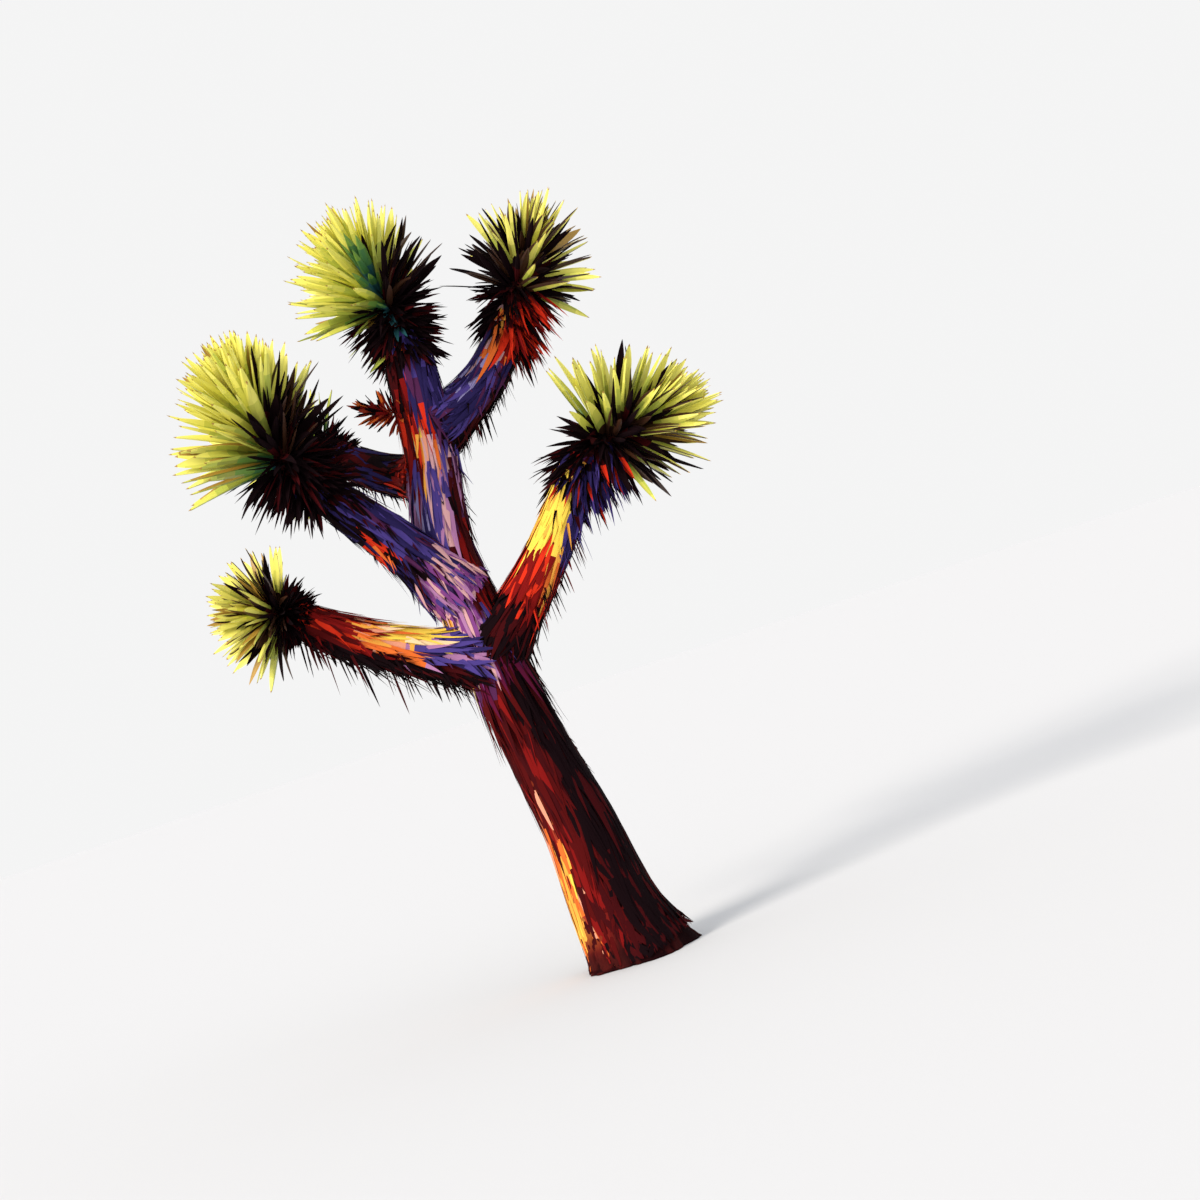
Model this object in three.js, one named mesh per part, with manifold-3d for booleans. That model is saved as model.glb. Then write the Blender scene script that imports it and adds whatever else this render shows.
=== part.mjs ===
// A joshua tree, rooted in the ground: a leaning trunk with a flared foot, five boughs,
// and on each limb a collar of dead leaves under a rosette of live ones.
// Millimetres, with x to the right, y away from the viewer and z up from the ground.
import * as THREE from "three";
import { mergeVertices } from "three/addons/utils/BufferGeometryUtils.js";
import Module from "manifold-3d";

const wasm = await Module();
wasm.setup();

// Clearances: between solids that meet, between a leaf and a limb, and between neighbouring heads
const CLEARANCE = 0.5;
const LIMB_MARGIN = 6;
const HEAD_MARGIN = 24;

// Meshing: sides and steps of each kind of skin, and the smallest edge that is kept
const TRUNK_MESH = { sides: 20, steps: 30, crowding: 1.15 };
const BOUGH_MESH = { sides: 14, steps: 14 };
const CORE_MESH = { sides: 10, steps: 5 };
const FRAME_STEPS = 40;
const CORE_OVERRUN = 0.02;
const MERGE = 1e-4;
const NARROW = 1e-5;
const SLIVER = 0.2;

// Bark: how far the limbs' sections stray from round
const TRUNK_UNEVEN = { depth: 3, lobes: 3, pitch: 170 };
const BOUGH_UNEVEN = { depth: 2.5, lobes: 2, twist: 5 };

// Leaves: each stands for a few real ones, so it is wider than life
const GOLDEN_ANGLE = THREE.MathUtils.degToRad(137.508);
const LIVE_LEAF = { length: 338, width: 42, thickness: 9, broadestAt: 0.32 };
const DEAD_LEAF = { length: 228, width: 40, thickness: 8, broadestAt: 0.4 };
const ROOT_DEPTH = 0.35;
const TURN_SPREAD = 0.35;
const LEAN_SPREAD = 14;
const LEAN_TRIES = [0, 14, -14, 28];
const LEAN_CURVE = 1.15;
const SAG_SPREAD = 0.6;
const SHORTEST = 0.86;
const LENGTH_SPREAD = 0.22;
const YOUNG_SHORTENING = 0.22;
const LEAF_CHECKS = [0.4, 0.7, 1];
const SEEDS = { collar: 11, rosette: 41, shoot: 51 };

// The trunk's middle line at a few heights, and its radius at foot and tip
const trunk = {
  name: "trunk",
  line: [
    [0, 0, 0],
    [-46, -6, 240],
    [-76, -14, 580],
    [-128, -22, 880],
    [-200, -30, 1350],
    [-248, -8, 1880],
    [-182, -5, 2300],
    [-150, -40, 2720],
  ],
  foot: 194,
  tip: 92,
  taper: 2.2,
  flare: { reach: 52, height: 120, lobes: 5, lobeDepth: 0.35 },
};

// Each bough leaves the trunk's middle line at a height, ends at a point, and bows between them
const boughs = [
  { name: "right", leavesAt: 1405, endsAt: [350, -105, 1976], bow: [12, -20, -30], foot: 102, tip: 73 },
  { name: "lower_left", leavesAt: 1400, endsAt: [-900, -194, 1777], bow: [-21, -4, -42], foot: 98, tip: 72 },
  { name: "upper_left", leavesAt: 1660, endsAt: [-637, -265, 2227], bow: [15, 0, 5], foot: 99, tip: 75 },
  { name: "back_left", leavesAt: 2195, endsAt: [-557, 385, 2390], bow: [12, 29, -37], foot: 86, tip: 66 },
  { name: "upper_right", leavesAt: 2370, endsAt: [275, 235, 2700], bow: [25, 0, -50], foot: 98, tip: 73 },
];
const BOUGH_TAPER = 1.5;

// A head ends the trunk, and one of the same name each bough: its stem runs on from the limb's tip to
// the apex of its rosette, and the collar takes the lower share of it. The collar's leaves droop, and
// the rosette's rise.
const heads = [
  { name: "top", apex: [-215, -95, 3070], size: 1.1, collarShare: 0.5, droop: 0.1, rise: 0.3 },
  { name: "right", apex: [728, -160, 2115], size: 1.08, collarShare: 0.5, droop: 0.75, rise: 0.2 },
  { name: "lower_left", apex: [-1022, -240, 1853], size: 0.86, collarShare: 0.55, droop: 0.35, rise: 0 },
  { name: "upper_left", apex: [-805, -430, 2650], size: 1.22, collarShare: 0.46, droop: 0.2, rise: 0.15 },
  { name: "back_left", apex: [-864, 520, 2561], size: 0.9, collarShare: 0.35, droop: 0.15, rise: 0 },
  { name: "upper_right", apex: [467, 328, 3005], size: 1.0, collarShare: 0.5, droop: 0.85, rise: 0 },
];

// How soon a head's stem bends from its limb's heading, its samples, and how its core thins
const HEAD_BEND = 0.45;
const STEM_SAMPLES = 12;
const CORE_CURVE = 1.6;

// A short side shoot with a small rosette, on the upper trunk
const shoot = {
  name: "side_shoot",
  leavesAt: 2450,
  heading: [-1, 0, 0.2],
  apex: [-372, -40, 2525],
  size: 0.4,
};

// How a mass is made: its leaves' count, their lean from the stem in degrees and the core's radius,
// each from the foot of the mass to its tip
const rosetteRule = {
  leaf: LIVE_LEAF,
  leaves: 48,
  leanFoot: 86,
  leanTip: 6,
  coreFoot: 66,
  coreTip: 30,
  youngAtTip: true,
};
const shootRule = { ...rosetteRule, leaves: 18, leanFoot: 100 };
const collarRule = {
  leaf: DEAD_LEAF,
  leaves: 42,
  leanFoot: 110,
  leanTip: 97,
  coreFoot: 84,
  coreTip: 68,
  youngAtTip: false,
};

const barkBrown = { color: "#5c3230", roughness: 0.95, metalness: 0 };
const liveGreen = { color: "#b4b43c", roughness: 0.55, metalness: 0 };
const deadBrown = { color: "#3a2018", roughness: 0.9, metalness: 0 };

// A repeatable run of numbers from 0 to 1
function seeded(seed) {
  let state = seed;
  return () => {
    state = (state * 1664525 + 1013904223) % 4294967296;
    return state / 4294967296;
  };
}

const vector = (point) => new THREE.Vector3(...point);
const curveThrough = (points) => new THREE.CatmullRomCurve3(points.map(vector), false, "catmullrom", 0.5);

// A three.js geometry as a manifold-3d solid
function solidOf(geometry) {
  const bare = new THREE.BufferGeometry();
  bare.setAttribute("position", geometry.getAttribute("position"));
  if (geometry.index) bare.setIndex(geometry.index);
  const merged = mergeVertices(bare, MERGE);
  return new wasm.Manifold(
    new wasm.Mesh({
      numProp: 3,
      vertProperties: merged.attributes.position.array,
      triVerts: new Uint32Array(merged.index.array),
    }),
  );
}

// A manifold-3d solid as a three.js geometry
function geometryOf(solid) {
  const mesh = solid.getMesh();
  const geometry = new THREE.BufferGeometry();
  geometry.setAttribute("position", new THREE.BufferAttribute(mesh.vertProperties, 3));
  geometry.setIndex(new THREE.BufferAttribute(mesh.triVerts, 1));
  geometry.computeVertexNormals();
  return geometry;
}

// The largest body of a solid, which leaves out scraps and fills sealed hollows
function largestBody(solid) {
  const bodies = solid.simplify(SLIVER).decompose();
  return bodies.reduce((best, body) => (body.volume() > best.volume() ? body : best));
}

// Rings of points joined into a closed skin with a flat fan at each end
function skinOf(rings) {
  const sides = rings[0].length;
  const positions = rings.flat().flatMap((point) => point.toArray());
  const index = [];
  for (let row = 0; row + 1 < rings.length; row++) {
    for (let side = 0; side < sides; side++) {
      const next = (side + 1) % sides;
      const [a, b] = [row * sides + side, row * sides + next];
      index.push(a, b, b + sides, a, b + sides, a + sides);
    }
  }
  for (const row of [0, rings.length - 1]) {
    const centre = rings[row].reduce((sum, point) => sum.add(point), new THREE.Vector3()).divideScalar(sides);
    const middle = positions.length / 3;
    positions.push(...centre.toArray());
    for (let side = 0; side < sides; side++) {
      const [a, b] = [row * sides + side, row * sides + ((side + 1) % sides)];
      index.push(...(row === 0 ? [middle, b, a] : [middle, a, b]));
    }
  }
  const geometry = new THREE.BufferGeometry();
  geometry.setAttribute("position", new THREE.Float32BufferAttribute(positions, 3));
  geometry.setIndex(index);
  return geometry;
}

// The trunk's radius: an even taper, with a lobed root flare that dies away above the ground
function trunkRadius(height, angle) {
  const share = height / trunk.line.at(-1)[2];
  const { reach, height: fade, lobes, lobeDepth } = trunk.flare;
  const taper = trunk.tip + (trunk.foot - trunk.tip) * (1 - share) ** trunk.taper;
  const flare = reach * Math.exp(-height / fade) * (1 + lobeDepth * Math.cos(lobes * angle));
  const uneven = TRUNK_UNEVEN.depth * Math.sin(TRUNK_UNEVEN.lobes * angle + height / TRUNK_UNEVEN.pitch);
  return taper + flare + uneven;
}

// The trunk is built of level rings, so that its foot is a level cut; grown adds clearance all round
function trunkSkin(grown = 0) {
  const { sides, steps, crowding } = TRUNK_MESH;
  const line = curveThrough(trunk.line);
  const rings = [];
  for (let step = 0; step <= steps; step++) {
    const centre = line.getPoint((step / steps) ** crowding);
    const height = centre.z;
    if (step === 0) centre.z -= grown;
    if (step === steps) centre.z += grown;
    const ring = [];
    for (let side = 0; side < sides; side++) {
      const angle = (side / sides) * 2 * Math.PI;
      const radius = trunkRadius(height, angle) + grown;
      ring.push(new THREE.Vector3(radius * Math.cos(angle), radius * Math.sin(angle), 0).add(centre));
    }
    rings.push(ring);
  }
  return skinOf(rings);
}

// The trunk's middle line at a height above the ground
function trunkCentre(height) {
  const line = curveThrough(trunk.line);
  let [low, high] = [0, 1];
  while (high - low > NARROW) {
    const middle = (low + high) / 2;
    if (line.getPoint(middle).z < height) low = middle;
    else high = middle;
  }
  return line.getPoint(low);
}

// Rings square to a curve, with a radius for each share of its length
function sweptSkin(curve, radiusAt, { sides, steps }, grown = 0) {
  const frames = curve.computeFrenetFrames(steps);
  const rings = [];
  for (let step = 0; step <= steps; step++) {
    const centre = curve.getPointAt(step / steps);
    if (step === steps) centre.addScaledVector(frames.tangents[step], grown);
    const ring = [];
    for (let side = 0; side < sides; side++) {
      const angle = (side / sides) * 2 * Math.PI;
      const radius = radiusAt(step / steps, angle) + grown;
      ring.push(
        centre
          .clone()
          .addScaledVector(frames.normals[step], radius * Math.cos(angle))
          .addScaledVector(frames.binormals[step], radius * Math.sin(angle)),
      );
    }
    rings.push(ring);
  }
  return skinOf(rings);
}

function boughCurve(bough) {
  const start = trunkCentre(bough.leavesAt);
  const end = vector(bough.endsAt);
  const control = start.clone().lerp(end, 0.5).addScaledVector(vector(bough.bow), 2);
  return new THREE.QuadraticBezierCurve3(start, control, end);
}

// A bough tapers, faster near its foot, and is slightly uneven round
function boughSkin(bough, grown = 0) {
  const { depth, lobes, twist } = BOUGH_UNEVEN;
  const taper = (share) => bough.tip + (bough.foot - bough.tip) * (1 - share) ** BOUGH_TAPER;
  const radiusAt = (share, angle) => taper(share) + depth * Math.sin(lobes * angle + twist * share);
  return sweptSkin(boughCurve(bough), radiusAt, BOUGH_MESH, grown);
}

// A dagger leaf's six corners: a point sunk in the core, a sharp tip and four round its broad middle
function leafCorners(root, tip, across, leaf, size) {
  const along = tip.clone().sub(root).normalize();
  const side = across.clone().addScaledVector(along, -across.dot(along)).normalize();
  const face = along.clone().cross(side);
  const broad = root.clone().lerp(tip, leaf.broadestAt);
  return [
    root,
    tip,
    broad.clone().addScaledVector(side, (leaf.width / 2) * size),
    broad.clone().addScaledVector(face, (leaf.thickness / 2) * size),
    broad.clone().addScaledVector(side, (-leaf.width / 2) * size),
    broad.clone().addScaledVector(face, (-leaf.thickness / 2) * size),
  ];
}

// The leaf's eight faces, four to each end
function leafSolid(corners) {
  const index = [];
  for (let corner = 0; corner < 4; corner++) {
    const [a, b] = [2 + corner, 2 + ((corner + 1) % 4)];
    index.push(0, b, a, 1, a, b);
  }
  return new wasm.Manifold(
    new wasm.Mesh({
      numProp: 3,
      vertProperties: new Float32Array(corners.flatMap((point) => point.toArray())),
      triVerts: new Uint32Array(index),
    }),
  );
}

// The stem of a head: it sets off the way its limb ends and bends to the apex
function headCurve(start, heading, apex) {
  const bend = start.clone().addScaledVector(heading, start.distanceTo(apex) * HEAD_BEND);
  return new THREE.QuadraticBezierCurve3(start, bend, apex);
}

// A stretch of a curve, from one share of its length to another
function stretchOf(curve, from, to) {
  const shares = Array.from({ length: CORE_MESH.steps + 1 }, (_, step) => step / CORE_MESH.steps);
  return new THREE.CatmullRomCurve3(shares.map((share) => curve.getPointAt(from + (to - from) * share)));
}

// How far a point lies from a curve, by its nearest sample
function distanceTo(samples, point) {
  return Math.min(...samples.map((sample) => sample.distanceTo(point)));
}

// One mass: a core along the stem with leaves set by the golden angle. A leaf that would touch a limb,
// cross the mass's end plane or come nearer another head than its own is leant differently, or skipped.
function leafMass({ stem, rule, size, droop = 0, seed, limbs, plane, ownLine, otherLines }) {
  const random = seeded(seed);
  const girth = Math.sqrt(size);
  const radiusAt = (share) => (rule.coreFoot + (rule.coreTip - rule.coreFoot) * share ** CORE_CURVE) * girth;
  let core = solidOf(sweptSkin(stem, radiusAt, CORE_MESH));
  for (const limb of limbs) core = core.subtract(limb.grown);
  if (plane) core = core.trimByPlane(plane.normal.toArray(), CLEARANCE / 2 - plane.constant);
  const frames = stem.computeFrenetFrames(FRAME_STEPS);

  const straysAt = (point) => {
    const own = distanceTo(ownLine, point);
    return otherLines.some((line) => distanceTo(line, point) < own + HEAD_MARGIN);
  };
  const fits = (corners, leaf) => {
    if (plane && corners.some((corner) => plane.distanceToPoint(corner) < CLEARANCE)) return false;
    const [root, tip] = corners;
    if (LEAF_CHECKS.some((along) => straysAt(root.clone().lerp(tip, along)))) return false;
    return limbs.every((limb) => leaf.minGap(limb.solid, LIMB_MARGIN) >= LIMB_MARGIN);
  };

  const leaves = [];
  for (let count = 0; count < rule.leaves; count++) {
    const share = (count + 0.5) / rule.leaves;
    const step = Math.round(share * FRAME_STEPS);
    const tangent = frames.tangents[step];
    const turn = count * GOLDEN_ANGLE + (random() - 0.5) * TURN_SPREAD;
    const outward = frames.normals[step]
      .clone()
      .multiplyScalar(Math.cos(turn))
      .addScaledVector(frames.binormals[step], Math.sin(turn));
    const evenLean = rule.leanFoot + (rule.leanTip - rule.leanFoot) * share ** LEAN_CURVE;
    const lean = evenLean + (random() - 0.5) * LEAN_SPREAD;
    const sag = droop * (1 - SAG_SPREAD * random());
    const youth = rule.youngAtTip ? 1 - YOUNG_SHORTENING * share ** 3 : 1;
    const length = rule.leaf.length * size * youth * (SHORTEST + LENGTH_SPREAD * random());
    const root = stem.getPointAt(share).addScaledVector(outward, radiusAt(share) * ROOT_DEPTH);
    for (const extra of LEAN_TRIES) {
      const angle = THREE.MathUtils.degToRad(lean + extra);
      const pointing = tangent.clone().multiplyScalar(Math.cos(angle));
      pointing.addScaledVector(outward, Math.sin(angle)).z -= sag;
      const tip = root.clone().addScaledVector(pointing.normalize(), length);
      const corners = leafCorners(root, tip, tangent.clone().cross(outward), rule.leaf, girth);
      const leaf = leafSolid(corners);
      if (!fits(corners, leaf)) continue;
      leaves.push(leaf);
      break;
    }
  }
  return largestBody(wasm.Manifold.union([core, ...leaves]));
}

function meshOf(name, solid, finish) {
  const mesh = new THREE.Mesh(geometryOf(solid), new THREE.MeshStandardMaterial(finish));
  mesh.name = name;
  return mesh;
}

// The limbs by the name of the head each carries, cut clear of the trunk and of the boughs before
function buildLimbs() {
  const limbs = new Map();
  const line = curveThrough(trunk.line);
  limbs.set(heads[0].name, {
    node: trunk.name,
    solid: solidOf(trunkSkin()),
    grown: solidOf(trunkSkin(CLEARANCE)),
    end: line.getPoint(1),
    heading: line.getTangent(1),
  });
  for (const bough of boughs) {
    let solid = solidOf(boughSkin(bough));
    for (const other of limbs.values()) solid = solid.subtract(other.grown);
    const curve = boughCurve(bough);
    limbs.set(bough.name, {
      node: "bough_" + bough.name,
      solid: largestBody(solid),
      grown: solidOf(boughSkin(bough, CLEARANCE)),
      end: curve.getPoint(1),
      heading: curve.getTangent(1),
    });
  }
  return limbs;
}

// Each head's two masses, a collar of dead leaves and a rosette past a plane across the stem
function buildHeads(limbs) {
  const stems = heads.map((head) => {
    const { end, heading } = limbs.get(head.name);
    return headCurve(end, heading, vector(head.apex));
  });
  stems.push(headCurve(trunkCentre(shoot.leavesAt), vector(shoot.heading).normalize(), vector(shoot.apex)));
  const lines = stems.map((stem) => stem.getPoints(STEM_SAMPLES));
  const surroundings = (place) => ({
    limbs: [...limbs.values()],
    ownLine: lines[place],
    otherLines: lines.filter((line, other) => other !== place),
  });
  const masses = [];
  heads.forEach((head, place) => {
    const stem = stems[place];
    const border = head.collarShare;
    const along = stem.getTangentAt(border);
    const ahead = new THREE.Plane().setFromNormalAndCoplanarPoint(along, stem.getPointAt(border));
    const common = { size: head.size, ...surroundings(place) };
    const collar = leafMass({
      ...common,
      stem: stretchOf(stem, 0, border + CORE_OVERRUN),
      rule: collarRule,
      droop: head.droop,
      seed: SEEDS.collar + place,
      plane: ahead.clone().negate(),
    });
    const rosette = leafMass({
      ...common,
      stem: stretchOf(stem, border - CORE_OVERRUN, 1),
      rule: rosetteRule,
      droop: -head.rise,
      seed: SEEDS.rosette + place,
      plane: ahead,
    });
    masses.push(meshOf("collar_" + head.name, collar, deadBrown));
    masses.push(meshOf("rosette_" + head.name, rosette, liveGreen));
  });
  const around = surroundings(heads.length);
  const own = { stem: stems.at(-1), rule: shootRule, size: shoot.size, seed: SEEDS.shoot };
  const tuft = leafMass({ ...around, ...own });
  masses.push(meshOf(shoot.name, tuft, deadBrown));
  return masses;
}

const tree = new THREE.Group();
const limbs = buildLimbs();
for (const limb of limbs.values()) tree.add(meshOf(limb.node, limb.solid, barkBrown));
for (const mass of buildHeads(limbs)) tree.add(mass);

export default tree;
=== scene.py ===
import math

import bpy
import numpy as np
from mathutils import Matrix, Vector, noise


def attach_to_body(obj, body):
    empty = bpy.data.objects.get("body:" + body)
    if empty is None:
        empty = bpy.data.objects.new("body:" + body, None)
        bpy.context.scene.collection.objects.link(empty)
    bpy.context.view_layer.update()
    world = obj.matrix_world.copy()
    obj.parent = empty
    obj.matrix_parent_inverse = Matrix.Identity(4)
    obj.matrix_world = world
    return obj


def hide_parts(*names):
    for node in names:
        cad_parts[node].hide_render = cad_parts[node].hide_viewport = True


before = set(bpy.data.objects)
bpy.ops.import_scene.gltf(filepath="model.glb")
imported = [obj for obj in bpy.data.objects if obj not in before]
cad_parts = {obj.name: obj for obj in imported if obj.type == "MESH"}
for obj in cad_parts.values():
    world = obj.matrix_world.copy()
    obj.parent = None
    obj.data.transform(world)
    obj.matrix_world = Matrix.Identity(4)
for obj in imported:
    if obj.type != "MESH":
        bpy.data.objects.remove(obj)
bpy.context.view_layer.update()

# A joshua tree: trunk and boughs in corky bark under a thatch of dead blades, six heads of live dagger
# leaves over collars of dead ones, and a small side shoot. Its colours carry painted light on the
# left and top and painted shade on the right and under sides. It stands on a plain pale floor.

# The limbs as the solids have them, in metres: the trunk's middle line, its radius at foot and tip and
# how that tapers, and how far, how high and in how many lobes its root flares
TRUNK_LINE = [
    (0, 0, 0),
    (-0.046, -0.006, 0.240),
    (-0.076, -0.014, 0.580),
    (-0.128, -0.022, 0.880),
    (-0.200, -0.030, 1.350),
    (-0.248, -0.008, 1.880),
    (-0.182, -0.005, 2.300),
    (-0.150, -0.040, 2.720),
]
TRUNK_FOOT, TRUNK_TIP, TRUNK_TAPER = 0.194, 0.092, 2.2
FLARE_REACH, FLARE_HEIGHT, FLARE_LOBES, FLARE_DEPTH = 0.052, 0.120, 5, 0.35

# The boughs: the height at which each leaves the trunk, where it ends, how far its middle is bowed off
# the straight, its radius at foot and tip, and how many strips of dead blades lie on it. loose is how
# far the tips of its loosest strips stand off, and ragged how much larger the blades of its fringe are.
BOUGHS = {
    "right": dict(
        leaves=1.405, ends=(0.350, -0.105, 1.976), bow=(0.012, -0.020, -0.030),
        foot=0.102, tip=0.073, strips=640,
    ),
    "lower_left": dict(
        leaves=1.400, ends=(-0.900, -0.194, 1.777), bow=(-0.021, -0.004, -0.042),
        foot=0.098, tip=0.072, strips=830, loose=0.06, ragged=1.35,
    ),
    "upper_left": dict(
        leaves=1.660, ends=(-0.637, -0.265, 2.227), bow=(0.015, 0, 0.005),
        foot=0.099, tip=0.075, strips=580,
    ),
    "back_left": dict(
        leaves=2.195, ends=(-0.557, 0.385, 2.390), bow=(0.012, 0.029, -0.037),
        foot=0.086, tip=0.066, strips=380,
    ),
    "upper_right": dict(
        leaves=2.370, ends=(0.275, 0.235, 2.700), bow=(0.025, 0, -0.050),
        foot=0.098, tip=0.073, strips=580,
    ),
}
BOUGH_TAPER = 1.5
# How much a bough thickens at the trunk, how deep inside the trunk that begins, and how soon it fades
FORK_SWELL, FORK_DEPTH, FORK_REACH = 0.028, 0.02, 0.055

# The heads, with directions of any length:
# apex, size: where the stem ends, and how large the head is
# collar, stands: up to which share of the stem dead leaves stand, and from which
# back, droop, worn: how far the lowest dead leaves turn back, in degrees, how much all of them hang, and
#   how much the lowest have worn short
# width, rise: how wide the live leaves are, and how much they turn up
# lit, glow, brightest: painted light: the way the lightest live leaves point, how much lighter all of them
#   are painted, and the lightest tone of one
# shaded, dark, below: painted shade: the way the darkened leaves point, their share elsewhere and there,
#   and their share of the leaves that point down
# facing: from which cosine on leaves that point to the front are darkened too, painted shade at a head's
# middle
# low: how much darker leaves that don't point up are painted, as painted shade, and the share of them that
# is ochre
# streak: the direction square to a blue-green fan
# darkest, dry: the darkest colour of a live leaf, which when given also makes a brown foot and edge of
# painted shade, and the share of the lit leaves that is dry
# skirt: chances and colours (foot and tip) of the dead leaves that hang
SHADED_RIGHT = (0.85, -0.40, -0.28)
HEADS = {
    "top": dict(
        apex=(-0.215, -0.095, 3.070), size=1.10, collar=0.50, back=124, droop=0.10, worn=0.24,
        width=0.041, rise=0.30, lit=(-0.74, 0.08, 0.62), glow=1.1,
        shaded=SHADED_RIGHT, dark=(0.02, 1.0), below=0.6, low=(1.9, 0), streak=(0.995, 0, 0.117),
    ),
    "right": dict(
        apex=(0.728, -0.160, 2.115), size=1.08, collar=0.50, stands=0.06, back=130, droop=0.75, worn=0.10,
        width=0.043, rise=0.36, lit=(0.74, -0.20, 0.62), glow=1.3, brightest=5.2,
        shaded=(-0.70, -0.30, -0.65), dark=(0.20, 0.75), below=0.5, facing=0.88, darkest="leaf_green",
        skirt=[(0.40, "soot navy"), (0.22, "navy violet"), (0.07, "maroon scarlet")],
    ),
    "lower_left": dict(
        apex=(-1.022, -0.240, 1.853), size=0.86, collar=0.55, back=104, droop=0.30, worn=0.55,
        width=0.043, lit=(-0.85, -0.20, 0.45), glow=1.5,
        shaded=SHADED_RIGHT, dark=(0.36, 0.92), below=0.3, darkest="leaf_green", dry=0.30,
    ),
    "upper_left": dict(
        apex=(-0.805, -0.430, 2.650), size=1.22, collar=0.46, stands=0.05, back=112, droop=0.20, worn=0.30,
        width=0.045, rise=0.42, lit=(-0.60, -0.40, 0.69), glow=1.2,
        shaded=(0.94, -0.20, -0.28), dark=(0.01, 0.98), below=0.85, facing=0.91, low=(2.6, 0.7),
    ),
    "back_left": dict(
        apex=(-0.864, 0.520, 2.561), size=0.88, collar=0.35, back=100, droop=0.15, worn=0.60,
        width=0.030, lit=(-0.85, 0.25, 0.45), glow=-0.3,
        shaded=(0.95, 0, -0.31), dark=(0.60, 0.85), below=0.3,
    ),
    "upper_right": dict(
        apex=(0.467, 0.328, 3.005), size=1.00, collar=0.50, back=132, droop=0.85, worn=0,
        width=0.044, lit=(0.30, 0.05, 0.95), glow=1.6,
        shaded=(-0.90, -0.35, -0.28), dark=(0.50, 0.97), below=0.3, darkest="leaf_green", dry=0.32,
        skirt=[(0.50, "maroon oxblood"), (0.38, "oxblood scarlet")],
    ),
}

# The share of its reach by which a stem's curve is pulled along its heading, and a stem's radius at foot
# and tip and how that tapers. The side shoot leaves the trunk at a height, as the boughs do.
HEAD_BEND = 0.45
STEM_RADIUS, STEM_TAPER = (0.074, 0.018), 1.6
SHOOT = dict(leaves=2.450, heading=(-1, 0, 0.2), apex=(-0.372, -0.040, 2.525), size=0.33)

# How leaves stand on a stem, in metres and degrees: their length and how much shorter the youngest are,
# how far they lean out at the stem's foot and tip and how much that varies, and the radius that they
# stand on there. Dead leaves lean by back at the foot of their stem and by COLLAR_TOP_LEAN at the top.
LIVE_HABIT = dict(length=0.338, younger=0.22, lean=(88, 5), spread=16, core=(0.060, 0.022))
SHOOT_HABIT = dict(length=0.338, younger=0.22, lean=(120, 5), spread=40, core=(0.050, 0.022))
DEAD_HABIT = dict(length=0.228, younger=0, spread=34, core=(0.080, 0.066))
COLLAR_TOP_LEAN = 84
DEAD_WIDTH, SHOOT_WIDTH = 0.021, 0.018
# How single leaves differ from that: round the stem in radians, and in the shares of their droop and
# length; at which share of the core's radius they root, and how late on the stem their lean changes;
# and how much outward, the front and chance turn their upper side from facing up the stem
TURN_JITTER, DROOP_SHARES, LENGTH_SHARES = 0.35, (0.4, 1.0), (0.86, 1.04)
ROOT_DEPTH, LEAN_CURVE = 0.45, 1.15
FACE_OUTWARD, FACE_FRONT, FACE_CHANCE = -0.35, 0.6, 0.3
LIVE_COUNT, DEAD_COUNT, SHOOT_COUNT = 230, 330, 84
GOLDEN_ANGLE = math.radians(137.508)
DOWN, TO_FRONT = np.array([0.0, 0.0, -1.0]), np.array([0.0, -1.0, 0.0])

# The view is level and from the front, rolled about its middle, and its width is in metres at the tree
VIEW_ROLL = math.radians(18.158)
VIEW_WIDTH, VIEW_DISTANCE = 5.04, 11.0
VIEW_CENTRE = Vector((0.297, 0.0, 1.472))


def unit(v):
    v = np.asarray(v, float)
    return v / np.maximum(np.linalg.norm(v, axis=-1, keepdims=True), 1e-9)


def smoothstep(low, high, x):
    t = np.clip((x - low) / (high - low), 0, 1)
    return t * t * (3 - 2 * t)


def between(ends, share):
    """The value that lies a share of the way from the first end to the second."""
    return ends[0] + (ends[1] - ends[0]) * share


def linear(colour):
    """An sRGB hex colour as linear red, green and blue, with an alpha of 1."""
    parts = [int(colour[i : i + 2], 16) / 255 for i in (1, 3, 5)]
    return (*[c / 12.92 if c <= 0.04045 else ((c + 0.055) / 1.055) ** 2.4 for c in parts], 1.0)


class Line:
    """A middle line as even points with frames that don't turn, read by its share of length."""

    def __init__(self, points, samples=240):
        points = np.asarray(points, float)
        steps = np.linalg.norm(np.diff(points, axis=0), axis=1)
        reached = np.concatenate([[0], np.cumsum(steps)])
        self.length = reached[-1]
        self.shares = np.linspace(0, 1, samples)
        even = self.shares * self.length
        self.points = np.stack([np.interp(even, reached, points[:, axis]) for axis in range(3)], 1)
        self.tangents = unit(np.gradient(self.points, axis=0))
        aside = [0.31, 0.92, 0.24]
        normal = unit(np.cross(self.tangents[0], aside))
        normals = []
        for tangent in self.tangents:
            normal = unit(normal - tangent * (normal @ tangent))
            normals.append(normal)
        self.normals = np.array(normals)
        self.binormals = np.cross(self.tangents, self.normals)

    def _read(self, table, share):
        return np.stack([np.interp(share, self.shares, table[:, axis]) for axis in range(3)], -1)

    def at(self, share):
        return self._read(self.points, share)

    def tangent(self, share):
        return unit(self._read(self.tangents, share))

    def outward(self, share, angle):
        """The direction square to the line at a share of its length, at an angle round it."""
        angle = np.asarray(angle)[..., None]
        normal, binormal = self._read(self.normals, share), self._read(self.binormals, share)
        return unit(normal * np.cos(angle) + binormal * np.sin(angle))

    def part(self, start, end, samples=80):
        return Line(self.at(np.linspace(start, end, samples)), samples)


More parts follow.
